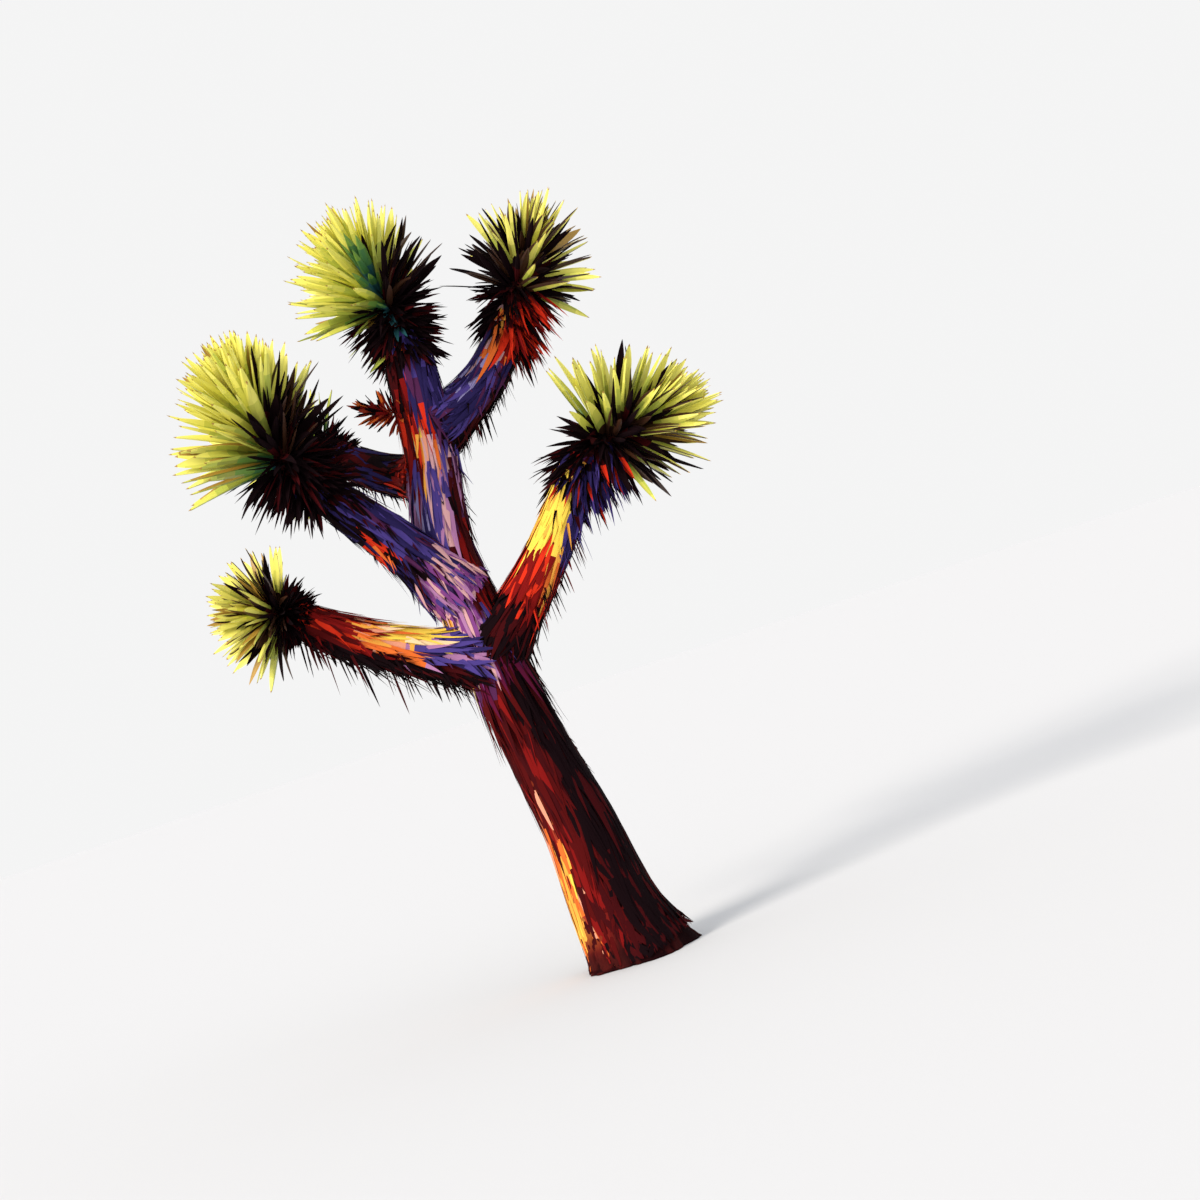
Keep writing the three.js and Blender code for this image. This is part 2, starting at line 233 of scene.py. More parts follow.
def spline(points, samples=400):
    """A curve through the points, as the trunk's solid has it."""
    p = np.asarray(points, float)
    p = np.vstack([2 * p[0] - p[1], p, 2 * p[-1] - p[-2]])
    spans = len(p) - 3
    t = np.linspace(0, spans, samples)
    span = np.minimum(t.astype(int), spans - 1)
    t = (t - span)[:, None]
    before, start, end, after = (p[span + k] for k in range(4))
    pull, push = (end - before) / 2, (after - start) / 2
    cubic = 2 * start - 2 * end + pull + push
    square = -3 * start + 3 * end - 2 * pull - push
    return cubic * t**3 + square * t**2 + pull * t + start


def bend(start, middle, end, samples=120):
    """A curve that leaves start towards middle and comes to end from it."""
    t = np.linspace(0, 1, samples)[:, None]
    start, middle, end = (np.asarray(p, float) for p in (start, middle, end))
    return (1 - t) ** 2 * start + 2 * t * (1 - t) * middle + t**2 * end


trunk_points = spline(TRUNK_LINE)


def trunk_centre(height):
    return np.stack([np.interp(height, trunk_points[:, 2], trunk_points[:, axis]) for axis in range(3)], -1)


def trunk_radius(height, angle=None):
    """The trunk's taper and its lobed root flare."""
    share = np.clip(height / TRUNK_LINE[-1][2], 0, 1)
    lobes = 1 if angle is None else 1 + FLARE_DEPTH * np.cos(FLARE_LOBES * angle)
    taper = between((TRUNK_TIP, TRUNK_FOOT), (1 - share) ** TRUNK_TAPER)
    return taper + FLARE_REACH * np.exp(-height / FLARE_HEIGHT) * lobes


def bough_line(bough):
    start, end = trunk_centre(bough["leaves"]), np.array(bough["ends"])
    return Line(bend(start, (start + end) / 2 + 2 * np.array(bough["bow"]), end))


def bough_radius(bough, share):
    return between((bough["tip"], bough["foot"]), (1 - share) ** BOUGH_TAPER)


def stem_radius(head, share):
    return between(STEM_RADIUS, share**STEM_TAPER) * math.sqrt(head["size"])


def head_line(start, heading, apex):
    start, apex = np.asarray(start, float), np.asarray(apex, float)
    return Line(bend(start, start + unit(heading) * np.linalg.norm(apex - start) * HEAD_BEND, apex))


def fork_swell(centre):
    """How much a bough thickens near the trunk, by how far its middle is outside the trunk."""
    height = centre[..., 2]
    from_middle = np.linalg.norm((centre - trunk_centre(height))[..., :2], axis=-1)
    outside = from_middle - trunk_radius(height) + FORK_DEPTH
    return FORK_SWELL * np.exp(-np.maximum(outside, 0) / FORK_REACH)


# The middle lines of all limbs and stems: a head's stem goes on from the end of its bough or the trunk
trunk_line = Line(trunk_points)
bough_lines = {name: bough_line(bough) for name, bough in BOUGHS.items()}
limb_lines = {"top": trunk_line, **bough_lines}
head_lines = {
    name: head_line(limb_lines[name].points[-1], limb_lines[name].tangents[-1], head["apex"])
    for name, head in HEADS.items()
}
shoot_line = head_line(trunk_centre(SHOOT["leaves"]), SHOOT["heading"], SHOOT["apex"])


# Materials


def add(tree, kind, inputs=None, **settings):
    """Adds a node with its settings. An input is a value, or the socket that it is linked to."""
    node = tree.nodes.new(kind)
    for name, value in settings.items():
        setattr(node, name, value)
    for name, value in (inputs or {}).items():
        if isinstance(value, bpy.types.NodeSocket):
            tree.links.new(value, node.inputs[name])
        else:
            node.inputs[name].default_value = value
    return node


def new_material(name, roughness, colour="#808080", specular=0.5):
    """An empty finish: its tree, its surface shader and the material."""
    material = bpy.data.materials.new(name)
    material.use_nodes = True
    tree = material.node_tree
    shader = tree.nodes["Principled BSDF"]
    shader.inputs["Base Color"].default_value = linear(colour)
    shader.inputs["Roughness"].default_value = roughness
    shader.inputs["Specular IOR Level"].default_value = specular
    material.diffuse_color = linear(colour)
    return tree, shader, material


def veins(tree, shader, ribs, height):
    """Fine ribs along a blade, so many across its width and so many metres high. Each runs on for about
    two fifths of the blade."""
    place = add(tree, "ShaderNodeUVMap", uv_map="blade")
    drawn_out = add(tree, "ShaderNodeMapping", {"Vector": place.outputs["UV"], "Scale": (ribs, 2.5, 1)})
    noise_inputs = {"Vector": drawn_out.outputs["Vector"], "Scale": 1.0, "Detail": 3}
    lines = add(tree, "ShaderNodeTexNoise", noise_inputs)
    relief_inputs = {"Height": lines.outputs["Fac"], "Strength": 0.6, "Distance": height}
    bump = add(tree, "ShaderNodeBump", relief_inputs)
    tree.links.new(bump.outputs["Normal"], shader.inputs["Normal"])


# Usual widths of blades in millimetres, and how far apart their ribs are drawn. Real ribs are about
# 1 mm apart, too fine to show, so they are drawn twice as coarse.
LIVE_WIDTH_MM, DEAD_WIDTH_MM, RIBS_APART_MM = 36, 24, 2


def live_blade(name, colour):
    """Living yucca leaf: a thick stiff blade under a waxy cuticle, which gives a half-matt shine over
    fine lengthwise ribs."""
    tree, shader, material = new_material(name, 0.42, colour, 0.4)
    shader.inputs["Coat Weight"].default_value = 0.12
    shader.inputs["Coat Roughness"].default_value = 0.35
    veins(tree, shader, LIVE_WIDTH_MM / RIBS_APART_MM, 0.0012)
    return material


def dead_blade(name, colour):
    """Dry yucca leaf: bleached or rotted fibre with no wax left, matt and coarsely ribbed."""
    tree, shader, material = new_material(name, 0.9, colour, 0.06)
    veins(tree, shader, DEAD_WIDTH_MM / RIBS_APART_MM, 0.003)
    return material


# Live colours: seven that are the ramp, from the darkest foot of a leaf to the lightest tip, along which
# leaves take painted shade and painted light; then those of dry edges, and a brown of leaf margins and of
# painted shade
LIVE_COLOURS = {
    "blue_green": "#20525a",
    "deep_green": "#3c6e3c",
    "leaf_green": "#668c38",
    "olive": "#8e9438",
    "lime": "#b4be4e",
    "lemon": "#d5d45c",
    "sunlit_yellow": "#eee870",
    "ochre": "#b08a38",
    "margin_and_shade_brown": "#3c2214",
}
LIVE_RAMP = list(LIVE_COLOURS)[:7]
# Painted shade and light across a live blade: how much lighter on the ramp each side of its section is
# painted: three of its upper side, an edge under it, its back and the other edge
PAINTED_SIDE_TONES = [-0.5, 0.4, 0.4, -1.1, -0.9, -1.1]
# Dead colours: a near black for painted shade, and rotted, rusty, bleached, and violet where old fibre has
# weathered; amber, gold, straw, salmon and lilac also serve as painted light on the limbs
DEAD_COLOURS = {
    "soot": "#120509",
    "maroon": "#3c080c",
    "garnet": "#4c0a0b",
    "oxblood": "#761110",
    "brick": "#943422",
    "scarlet": "#cc2e18",
    "rust": "#d8682c",
    "amber": "#eca444",
    "gold": "#f2ce50",
    "straw": "#ecca9e",
    "salmon": "#dc9478",
    "pink": "#ca9a9e",
    "mauve": "#a4729e",
    "lilac": "#8c84b4",
    "violet": "#483a80",
    "navy": "#282050",
    "plum": "#4c2248",
    "magenta": "#541030",
    "orchid": "#7c4080",
}
live_materials = {name: live_blade("live_blade_" + name, colour) for name, colour in LIVE_COLOURS.items()}
dead_materials = {name: dead_blade("dead_blade_" + name, colour) for name, colour in DEAD_COLOURS.items()}
blade_materials = {**live_materials, **dead_materials}
blade_finishes = list(blade_materials.values())
# The number of each kind of blade
KIND = {name: number for number, name in enumerate(blade_materials)}

# The colour sockets of a Mix node by number, because it has others of the same names
UNDER, OVER, MIXED = 6, 7, 2


def laid_over(tree, colour, tints):
    """A colour with others laid over it, each as much as the mesh's weight of its name says."""
    for name, tint in tints.items():
        weight = add(tree, "ShaderNodeAttribute", attribute_name=name)
        inputs = {"Factor": weight.outputs["Fac"], UNDER: colour, OVER: linear(tint)}
        colour = add(tree, "ShaderNodeMix", inputs, data_type="RGBA").outputs[MIXED]
    return colour


def corky_bark():
    """Old yucca bark: corky ridges between fissures, each of laid fibres. It is brown-red and weathered to
    violet grey on the upper limbs, with painted shade: near black in the fissures, between the fibres and
    on the shaded side; and painted light: lighter on the fibres and amber where patches face the light.
    Its fibres are drawn 6 mm wide and 70 mm long, because real ones, 1 or 2 mm wide, are too fine to show."""
    tree, shader, material = new_material("corky_bark", 0.95, "#401010", 0.05)
    fibre_mm, patch_mm = (6.25, 6.25, 71), 110
    per_metre = [round(1000 / size) for size in fibre_mm]
    place = add(tree, "ShaderNodeTexCoord").outputs["Object"]
    laid = add(tree, "ShaderNodeMapping", {"Vector": place, "Scale": per_metre}).outputs["Vector"]
    fibres = add(tree, "ShaderNodeTexNoise", {"Vector": laid, "Scale": 1, "Detail": 4}).outputs["Fac"]
    blotches = {"Vector": place, "Scale": round(1000 / patch_mm), "Detail": 3}
    patches = add(tree, "ShaderNodeTexNoise", blotches)
    ramp = add(tree, "ShaderNodeValToRGB", {"Fac": patches.outputs["Fac"]})
    darker, redder = ramp.color_ramp.elements
    darker.position, darker.color = 0.35, linear("#2c0709")
    redder.position, redder.color = 0.65, linear("#541210")

    tints = {"red": "#8c1812", "violet": "#4a3a7c", "amber": "#e29240"}
    colour = laid_over(tree, ramp.outputs["Color"], tints)
    # Painted shade between the fibres, and a little painted highlight on them
    ends = []
    for share, tint in ((0.5, "#12050a"), (0.08, "#b85a48")):
        inputs = {"Factor": share, UNDER: colour, OVER: linear(tint)}
        ends.append(add(tree, "ShaderNodeMix", inputs, data_type="RGBA").outputs[MIXED])
    hollow, ridge = ends
    inputs = {"Factor": fibres, UNDER: hollow, OVER: ridge}
    colour = add(tree, "ShaderNodeMix", inputs, data_type="RGBA").outputs[MIXED]
    # Painted shade over it all: near black where patches face away from the light, and darker in the
    # fissures
    colour = laid_over(tree, colour, {"soot": "#180509", "fissure": "#0c0306"})
    tree.links.new(colour, shader.inputs["Base Color"])
    bump = add(tree, "ShaderNodeBump", {"Height": fibres, "Strength": 0.7, "Distance": 0.004})
    tree.links.new(bump.outputs["Normal"], shader.inputs["Normal"])
    return material


def painted_plaster():
    """Plaster, trowelled flat and painted: an even, pale, matt grey with no texture of its own."""
    return new_material("painted_plaster", 0.85, "#d4d6da", 0.2)[2]


bark = corky_bark()


# Where each colour lies on the limbs. A patch is from and to (metres of height on the trunk, share of
# length on a bough), the side it faces, its half width in degrees, its chance, and its colours. The
# first patch that takes a place colours it. Many patches are painted light and shade: amber, gold,
# straw, salmon and lilac where a side faces the light at the left, front and top are painted light, and
# near black and navy, mostly on the right and under sides, are painted shade.
SIDES = {
    "left": (-1, -0.15, 0.1),
    "near_left": (-0.92, -0.39, 0.05),
    "front_left": (-0.75, -0.7, 0.1),
    "left_of_front": (-0.38, -0.92, 0.1),
    "front": (0, -1, 0.1),
    "front_right": (0.7, -0.75, 0),
    "right": (1, -0.1, -0.1),
    "top": (-0.2, -0.1, 1),
    "front_top": (-0.2, -0.75, 0.65),
    "under": (0.1, -0.1, -1),
    "front_under": (0, -0.75, -0.7),
    "any": None,
}
PATCHES = {
    "trunk": [
        # Painted light down the lit left side, and painted shade down the right
        (0.17, 0.52, "near_left", 24, 0.82, "amber rust amber gold"),
        (0.12, 0.66, "near_left", 34, 0.42, "rust brick amber salmon"),
        (0.00, 0.16, "right", 100, 0.95, "soot soot maroon"),
        (0.00, 0.10, "any", 0, 0.9, "soot maroon maroon"),
        (0.00, 1.30, "right", 72, 0.97, "soot soot soot maroon"),
        (0.00, 1.30, "right", 88, 0.92, "soot maroon garnet"),
        (0.60, 0.95, "front_left", 24, 0.14, "salmon brick"),
        (0.04, 1.25, "front_left", 52, 0.85, "garnet maroon garnet oxblood maroon garnet"),
        (0.00, 1.20, "any", 0, 0.85, "maroon maroon soot garnet"),
        (1.12, 1.42, "front", 62, 0.92, "magenta magenta plum maroon"),
        (1.36, 1.62, "left", 44, 0.9, "straw straw amber"),
        (1.32, 1.72, "front_left", 60, 0.85, "orchid mauve orchid pink mauve"),
        (1.60, 1.95, "front_right", 34, 0.8, "oxblood maroon"),
        (1.30, 2.20, "right", 52, 0.85, "plum soot maroon"),
        (1.94, 2.22, "left", 46, 0.85, "lilac violet mauve"),
        (2.00, 2.17, "front_left", 18, 0.85, "salmon amber rust"),
        (1.90, 2.20, "left_of_front", 18, 0.8, "navy violet lilac"),
        (2.22, 2.40, "left_of_front", 13, 0.85, "amber amber gold rust"),
        (2.22, 2.38, "front", 18, 0.8, "salmon rust pink"),
        (2.29, 2.46, "front_left", 66, 0.92, "scarlet scarlet oxblood"),
        (2.10, 2.30, "left", 62, 0.85, "oxblood garnet"),
        (2.40, 2.72, "left", 62, 0.85, "maroon garnet oxblood soot"),
        (2.60, 2.76, "left_of_front", 24, 0.8, "scarlet rust"),
        (1.72, 2.34, "front", 56, 0.85, "mauve pink mauve violet"),
        (1.30, 2.30, "any", 0, 0.95, "mauve violet plum violet pink"),
        (2.20, 3.20, "any", 0, 0.95, "navy violet navy plum"),
    ],
    "right": [
        (0.64, 1.10, "right", 68, 0.9, "violet navy"),
        (0.62, 1.02, "front_left", 78, 0.95, "gold amber gold"),
        (0.42, 0.76, "front_right", 34, 0.85, "amber rust amber"),
        (0.46, 0.70, "right", 60, 0.8, "oxblood maroon"),
        (0.35, 0.70, "front", 90, 0.92, "oxblood oxblood scarlet oxblood"),
        (0.00, 0.40, "any", 0, 0.95, "soot maroon soot"),
        (0.00, 1.10, "any", 0, 0.95, "maroon oxblood plum navy"),
    ],
    "lower_left": [
        (0.00, 1.10, "under", 60, 0.92, "soot soot maroon"),
        (0.30, 0.60, "top", 74, 0.9, "gold straw gold"),
        (0.46, 0.73, "front_top", 58, 0.9, "amber rust rust salmon"),
        (0.66, 1.10, "front", 84, 0.92, "oxblood scarlet oxblood garnet"),
        (0.04, 0.40, "front_top", 66, 0.9, "violet mauve navy violet plum"),
        (0.27, 0.50, "front", 40, 0.7, "rust plum mauve"),
        (0.00, 0.55, "any", 0, 0.9, "maroon plum navy"),
        (0.00, 1.10, "any", 0, 0.9, "maroon oxblood soot"),
    ],
    "upper_left": [
        (0.53, 0.66, "under", 58, 0.85, "scarlet rust"),
        (0.30, 0.66, "top", 44, 0.7, "pink mauve lilac"),
        (0.00, 0.30, "front", 90, 0.85, "orchid mauve orchid violet pink"),
        (0.80, 1.10, "any", 0, 0.85, "soot navy"),
        (0.00, 1.00, "under", 60, 0.85, "navy soot"),
        (0.00, 1.00, "front_top", 40, 0.4, "lilac mauve"),
        (0.00, 1.00, "any", 0, 0.95, "violet navy violet navy plum"),
    ],
    "back_left": [
        (0.00, 0.40, "front", 90, 0.85, "oxblood maroon oxblood scarlet"),
        (0.00, 1.10, "any", 0, 0.9, "soot navy maroon"),
    ],
    "head_stem": [(0.00, 1.00, "any", 0, 0.9, "soot soot maroon")],
    "upper_right": [
        (0.72, 1.10, "front_right", 34, 0.85, "oxblood scarlet"),
        (0.66, 1.10, "front", 42, 0.8, "rust pink amber rust"),
        (0.00, 1.00, "under", 55, 0.9, "soot soot maroon"),
        (0.10, 0.80, "front_top", 36, 0.2, "lilac violet"),
        (0.00, 1.10, "any", 0, 0.95, "navy violet navy navy plum"),
    ],
}
# The bark has one weight for each family of colours; the amber one is mostly painted light, and the near
# black one, with navy, painted shade
BARK_FAMILIES = {
    "red": {"oxblood", "scarlet", "rust", "brick", "garnet"},
    "violet": {"violet", "lilac", "mauve", "pink", "plum", "magenta", "orchid"},
    "amber": {"amber", "gold", "straw", "salmon"},
    "soot": {"soot", "navy"},
}


# Chance patterns, in repeats to a metre: clumps of colour (90 mm), the sway of fissures (140 mm), the
# roughness of bark (40 mm) and clumps of loose blades (125 mm)
COLOUR_CLUMPS, FISSURE_SWAY, BARK_ROUGHNESS, LOOSE_CLUMPS = 11, 7, 26, 8
# How softly a patch ends: in the cosine of its side, and along the limb for blades and for bark. How
# dark a fissure is painted, as painted shade, and below which luck a patch takes a place whatever its
# chance.
SIDE_SOFT, BLADE_SOFT, BARK_SOFT = 0.12, 0.03, 0.04
FISSURE_DARKNESS, SURE_LUCK = 0.8, 0.25


def membership(patch, place, facing, soft):
    """How far a place on a limb, facing a direction, lies in a patch, from 0 to 1."""
    start, end, side, reach = patch[:4]
    inside = smoothstep(start - soft, start + soft, place) * (1 - smoothstep(end - soft, end + soft, place))
    if SIDES[side] is None:
        return inside
    edge = math.cos(math.radians(reach))
    return inside * smoothstep(edge - SIDE_SOFT, edge + SIDE_SOFT, facing @ unit(SIDES[side]))


def deal_colours(limb, place, facing, root, random):
    """A dead blade colour for each place, and the number of the patch that it is from: the first that
    takes it."""
    chosen = np.full(len(place), KIND["maroon"])
    source = np.full(len(place), -1)
    free = np.ones(len(place), bool)
    # Neighbours share their luck, so that colours lie in clumps
    clump = np.array([noise.noise(Vector(p) * COLOUR_CLUMPS) for p in root]) * 0.5 + 0.5
    for number, patch in enumerate(PATCHES[limb]):
        luck = 0.5 * random.random(len(place)) + 0.5 * clump
        lies_in = membership(patch, place, facing, BLADE_SOFT) > 0.5
        taken = free & lies_in & (luck < between((SURE_LUCK, 1), patch[4]))
        colours = [KIND[colour] for colour in patch[5].split()]
        chosen[taken] = random.choice(colours, taken.sum())
        source[taken] = number
        free &= ~taken
    return chosen, source


# Blades: every leaf, dead or live, is one closed blade in a joined mesh

# A section is points (across, down) in half widths and thicknesses, and a blade is rings of them, with
# their shares of its length and their widths. Its upper side is hollowed by channel, and thickness is a
# share of its width.
LIVE_BLADE = dict(
    section=[(-1, 0), (-0.4, 0), (0.4, 0), (1, 0), (0.45, 1), (-0.45, 1)],
    rings=[0, 0.06, 0.16, 0.28, 0.41, 0.54, 0.67, 0.79, 0.89, 0.965],
    widths=[1.10, 0.78, 0.72, 0.86, 0.97, 1.0, 0.92, 0.74, 0.47, 0.18],
    channel=0.28,
    thickness=0.22,
)
DEAD_BLADE = dict(
    section=[(-1, 0), (0, 0.1), (1, 0), (0, 1)],
    rings=[0, 0.12, 0.30, 0.50, 0.70, 0.88],
    widths=[0.8, 0.85, 1.0, 0.92, 0.66, 0.32],
    channel=0.35,
    thickness=0.17,
)
STRIP = dict(
    section=[(-1, 0), (0, 0.1), (1, 0), (0, 1)],
    rings=[0, 0.10, 0.25, 0.42, 0.58, 0.74, 0.88],
    widths=[0.35, 0.75, 1.0, 0.98, 0.85, 0.60, 0.32],
    channel=-0.12,
)
# How thick a blade is at its tip, as a share of its foot, and from which angle on its edges are sharp
TIP_THICKNESS = 0.35
SHARP_FROM = math.radians(38)


def blade_mesh(name, form, middle, faces, width, thick, twist, shades):
    """Joins blades into one mesh. middle is the line of each blade at its rings and its tip, faces is
    the way its upper side looks there, and shades is its kind at each ring and side of the section."""
    section, rings = np.array(form["section"], float), np.array(form["rings"])
    count, ring_count, corners = len(middle), len(rings), len(section)
    along = unit(np.gradient(middle, axis=1))[:, :ring_count]
    centre, tips = middle[:, :ring_count], middle[:, ring_count]
    side = unit(np.cross(along, faces))
    face = unit(np.cross(side, along))
    turn = twist[:, None] * rings[None, :]
    cos, sin = np.cos(turn)[..., None], np.sin(turn)[..., None]
    sides, faces = side * cos + face * sin, face * cos - side * sin
    half = width[:, None] / 2 * np.array(form["widths"])[None, :]
    across = half[:, :, None] * section[:, 0]
    thins = between((TIP_THICKNESS, 1), 1 - rings)
    lift = form["channel"] * half[:, :, None] * section[:, 0] ** 2
    lift = lift - (thick[:, None] * thins)[:, :, None] * section[:, 1]
    body = centre[:, :, None] + sides[:, :, None] * across[..., None] + faces[:, :, None] * lift[..., None]
    points = np.concatenate([body.reshape(count, -1, 3), tips[:, None]], 1).reshape(-1, 3)

    per_blade = ring_count * corners + 1
    ring, corner = np.divmod(np.arange((ring_count - 1) * corners), corners)
    a, b = ring * corners + corner, ring * corners + (corner + 1) % corners
    quads = np.stack([a, a + corners, b + corners, b], 1)
    last = (ring_count - 1) * corners
    end = last + np.arange(corners)
    caps = np.stack([end, np.full(corners, per_blade - 1), last + (np.arange(corners) + 1) % corners], 1)
    loops = np.concatenate([quads.ravel(), caps.ravel(), np.arange(corners)])
    sizes = np.array([4] * len(quads) + [3] * corners + [corners])
    own_ring = np.concatenate([ring, np.full(corners, ring_count - 1), [0]])
    own_side = np.concatenate([corner, np.arange(corners), [0]])

    loop_index = (loops[None, :] + per_blade * np.arange(count)[:, None]).ravel()
    dealt = np.broadcast_to(shades, (count, ring_count, corners))[:, own_ring, own_side].ravel()
    used = sorted(set(dealt.tolist()))
    slots = np.searchsorted(used, dealt)
    obj = mesh_from_arrays(name, points, loop_index, np.tile(sizes, count), slots)
    for number in used:
        obj.data.materials.append(blade_finishes[number])
    places = np.stack([np.tile(section[:, 0] / 2 + 0.5, ring_count), np.repeat(rings, corners)], 1)
    places = np.concatenate([places, [[0.5, 1.0]]])
    layer = obj.data.uv_layers.new(name="blade")
    layer.uv.foreach_set("vector", np.tile(places[loops], (count, 1)).astype(np.float32).ravel())
    obj.data.set_sharp_from_angle(angle=SHARP_FROM)
    return obj


def straight_blades(form, root, along, length, bow):
    """Middle lines that leave root along a direction, with the tip carried off the straight by bow."""
    reach = np.array([*form["rings"], 1.0])
    middle = root[:, None] + along[:, None] * (length[:, None] * reach)[..., None]
    return middle + bow[:, None] * (reach**2)[None, :, None]


def mesh_from_arrays(name, points, loops, sizes, slots=None):
    """A smooth mesh of faces with so many corners each, named one after another in loops."""
    mesh = bpy.data.meshes.new(name)
    mesh.vertices.add(len(points))
    mesh.vertices.foreach_set("co", np.asarray(points, np.float32).ravel())
    mesh.loops.add(len(loops))
    mesh.loops.foreach_set("vertex_index", np.asarray(loops, np.int32))
    mesh.polygons.add(len(sizes))
    starts = np.concatenate([[0], np.cumsum(sizes)[:-1]])
    mesh.polygons.foreach_set("loop_start", starts.astype(np.int32))
    if slots is not None:
        mesh.polygons.foreach_set("material_index", np.asarray(slots, np.int32))
    mesh.polygons.foreach_set("use_smooth", np.ones(len(sizes), bool))
    mesh.update(calc_edges=True)
    obj = bpy.data.objects.new(name, mesh)
    bpy.context.scene.collection.objects.link(obj)
    return obj


def kinds(*names):
    """The numbers of these kinds of blade."""
    return np.array([KIND[name] for name in names])


def over_rings(shades, rings_each):
    """Kinds given in turn along each blade, laid over its rings for all sides of its section."""
    return np.repeat(shades, rings_each, axis=1)[:, :, None]


def strays(own, others, root, tip, margin=0.012):
    """Whether a leaf comes nearer another head's stem than its own, halfway out or at its tip."""
    lost = np.zeros(len(root), bool)
    for share in (0.5, 1.0):
        point = root + (tip - root) * share

        def gap(line):
            return np.min(np.linalg.norm(point[:, None] - line.points[None, ::12], axis=2), axis=1)

        near = gap(own)
        for other in others:
            lost |= gap(other) < near + margin
    return lost


def leaves_on(line, others, count, size, habit, droop, random):
    """Places leaves on a stem by the golden angle, with the habit's lean from its foot to its tip, and
    marks those to keep, which don't stray into another head's space."""
    share = (np.arange(count) + 0.5) / count
    turn = np.arange(count) * GOLDEN_ANGLE + (random.random(count) - 0.5) * TURN_JITTER
    tangent, outward = line.tangent(share), line.outward(share, turn)
    lean = between(habit["lean"], share**LEAN_CURVE) + (random.random(count) - 0.5) * habit["spread"]
    angle = np.radians(lean)
    along = tangent * np.cos(angle)[:, None] + outward * np.sin(angle)[:, None]
    along[:, 2] -= droop * between(DROOP_SHARES, random.random(count))
    along = unit(along)
    radius = between(habit["core"], share**STEM_TAPER) * math.sqrt(size)
    root = line.at(share) + outward * (radius * ROOT_DEPTH)[:, None]
    youth = 1 - habit["younger"] * share**3
    reach = habit["length"] * size * youth * between(LENGTH_SHARES, random.random(count))
    face = tangent + FACE_OUTWARD * outward + FACE_FRONT * TO_FRONT
    face = unit(face + FACE_CHANCE * random.normal(size=(count, 3)))
    kept = ~strays(line, others, root, root + along * reach[:, None])
    return dict(share=share, along=along, face=face, root=root, length=reach, kept=kept)


def stem_part(name, start, end):
    """The part of a head's stem that leaves stand on, and the stems of the other heads."""
    return head_lines[name].part(start, end), [line for key, line in head_lines.items() if key != name]


def bowed(leaf, hang, curl, random):
    """How far each leaf's tip leaves the straight: down by up to hang, and to its upper or under side by
    about curl, as shares of its length."""
    count = len(leaf["length"])
    bow = DOWN * (hang * leaf["length"] * random.random(count))[:, None]
    return bow + leaf["face"] * (curl * leaf["length"] * random.normal(size=count))[:, None]


def leaf_mesh(name, form, leaf, width, bow, twist, shades):
    middle = straight_blades(form, leaf["root"], leaf["along"], leaf["length"], bow)
    faces = np.repeat(leaf["face"][:, None], len(form["rings"]), axis=1)
    keep = leaf["kept"]
    thick = width * form["thickness"]
    return blade_mesh(name, form, *(part[keep] for part in (middle, faces, width, thick, twist, shades)))


def finished(obj, slot, *nodes):
    """Fixes a piece to the tree and hides the solids that it stands for. What it is of, slot, is not used.
    """
    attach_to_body(obj, "root")
    if nodes:
        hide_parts(*nodes)


# How far from the middle of the streak's fan a leaf may point, and how far to the front it has to
STREAK_HALF_WIDTH, STREAK_FACING = 0.17, 0.58


def in_streak(head, leaf):
    """Which leaves lie in the upright fan, square to a direction and to the front, in which a head is
    blue-green."""
    if "streak" not in head:
        return np.zeros(len(leaf["along"]), bool)
    across = leaf["along"] @ unit(head["streak"])
    return (np.abs(across) < STREAK_HALF_WIDTH) & (leaf["along"] @ TO_FRONT > STREAK_FACING)


# The cosines from which a leaf begins to count, and counts in full, as one of the shaded side, one that
# points down and one that doesn't point up; how much chance there is in shade and light; and from which
# cosine on a leaf is lit enough to dry. NOWHERE is a cosine that no leaf reaches.
SHADED_EDGE, DOWN_EDGE, LOW_EDGE = (-0.05, 0.35), (0.0, 0.45), (-0.50, 0.05)
SHADE_CHANCE, LIGHT_CHANCE, DRY_FROM = 0.12, 0.15, 0.1
NOWHERE = 2


def darkened(head, along, random):
    """Which leaves are darkened as painted shade: most of the shaded side, some of those that point down,
    and all of those that point straight to the front where a head is painted dark at its middle."""
    count = len(along)
    to_shade = along @ unit(head["shaded"]) + SHADE_CHANCE * random.normal(size=count)
    dark = random.random(count) < between(head["dark"], smoothstep(*SHADED_EDGE, to_shade))
    dark |= random.random(count) < head["below"] * smoothstep(*DOWN_EDGE, along @ DOWN)
    return dark | (along @ TO_FRONT > head.get("facing", NOWHERE))


# The painted light and shade of a live leaf, as its tone in steps of the ramp: square to the light, what
# pointing at the light adds, the most, and how much it varies. It rises along a leaf by TONE_ALONG, from
# painted shade at the foot to painted light at the tip, and TONE_PLACE is the share of the length where it
# is the leaf's own. LAST_RING is taken for the last ring's share.
TONE_SQUARE, TONE_BY_LIGHT, TONE_MOST, TONE_LUCK = 2.9, 4.2, 5.7, 0.55
TONE_ALONG, TONE_PLACE, LAST_RING = 4.2, 0.44, 0.9
# The share of the lit leaves that is dry on most heads, and the shares of the darkened leaves, painted
# shade, that are brown all over and maroon at the foot
FEW_DRY, BROWN_SHARE, MAROON_SHARE = 0.04, 0.25, 0.2


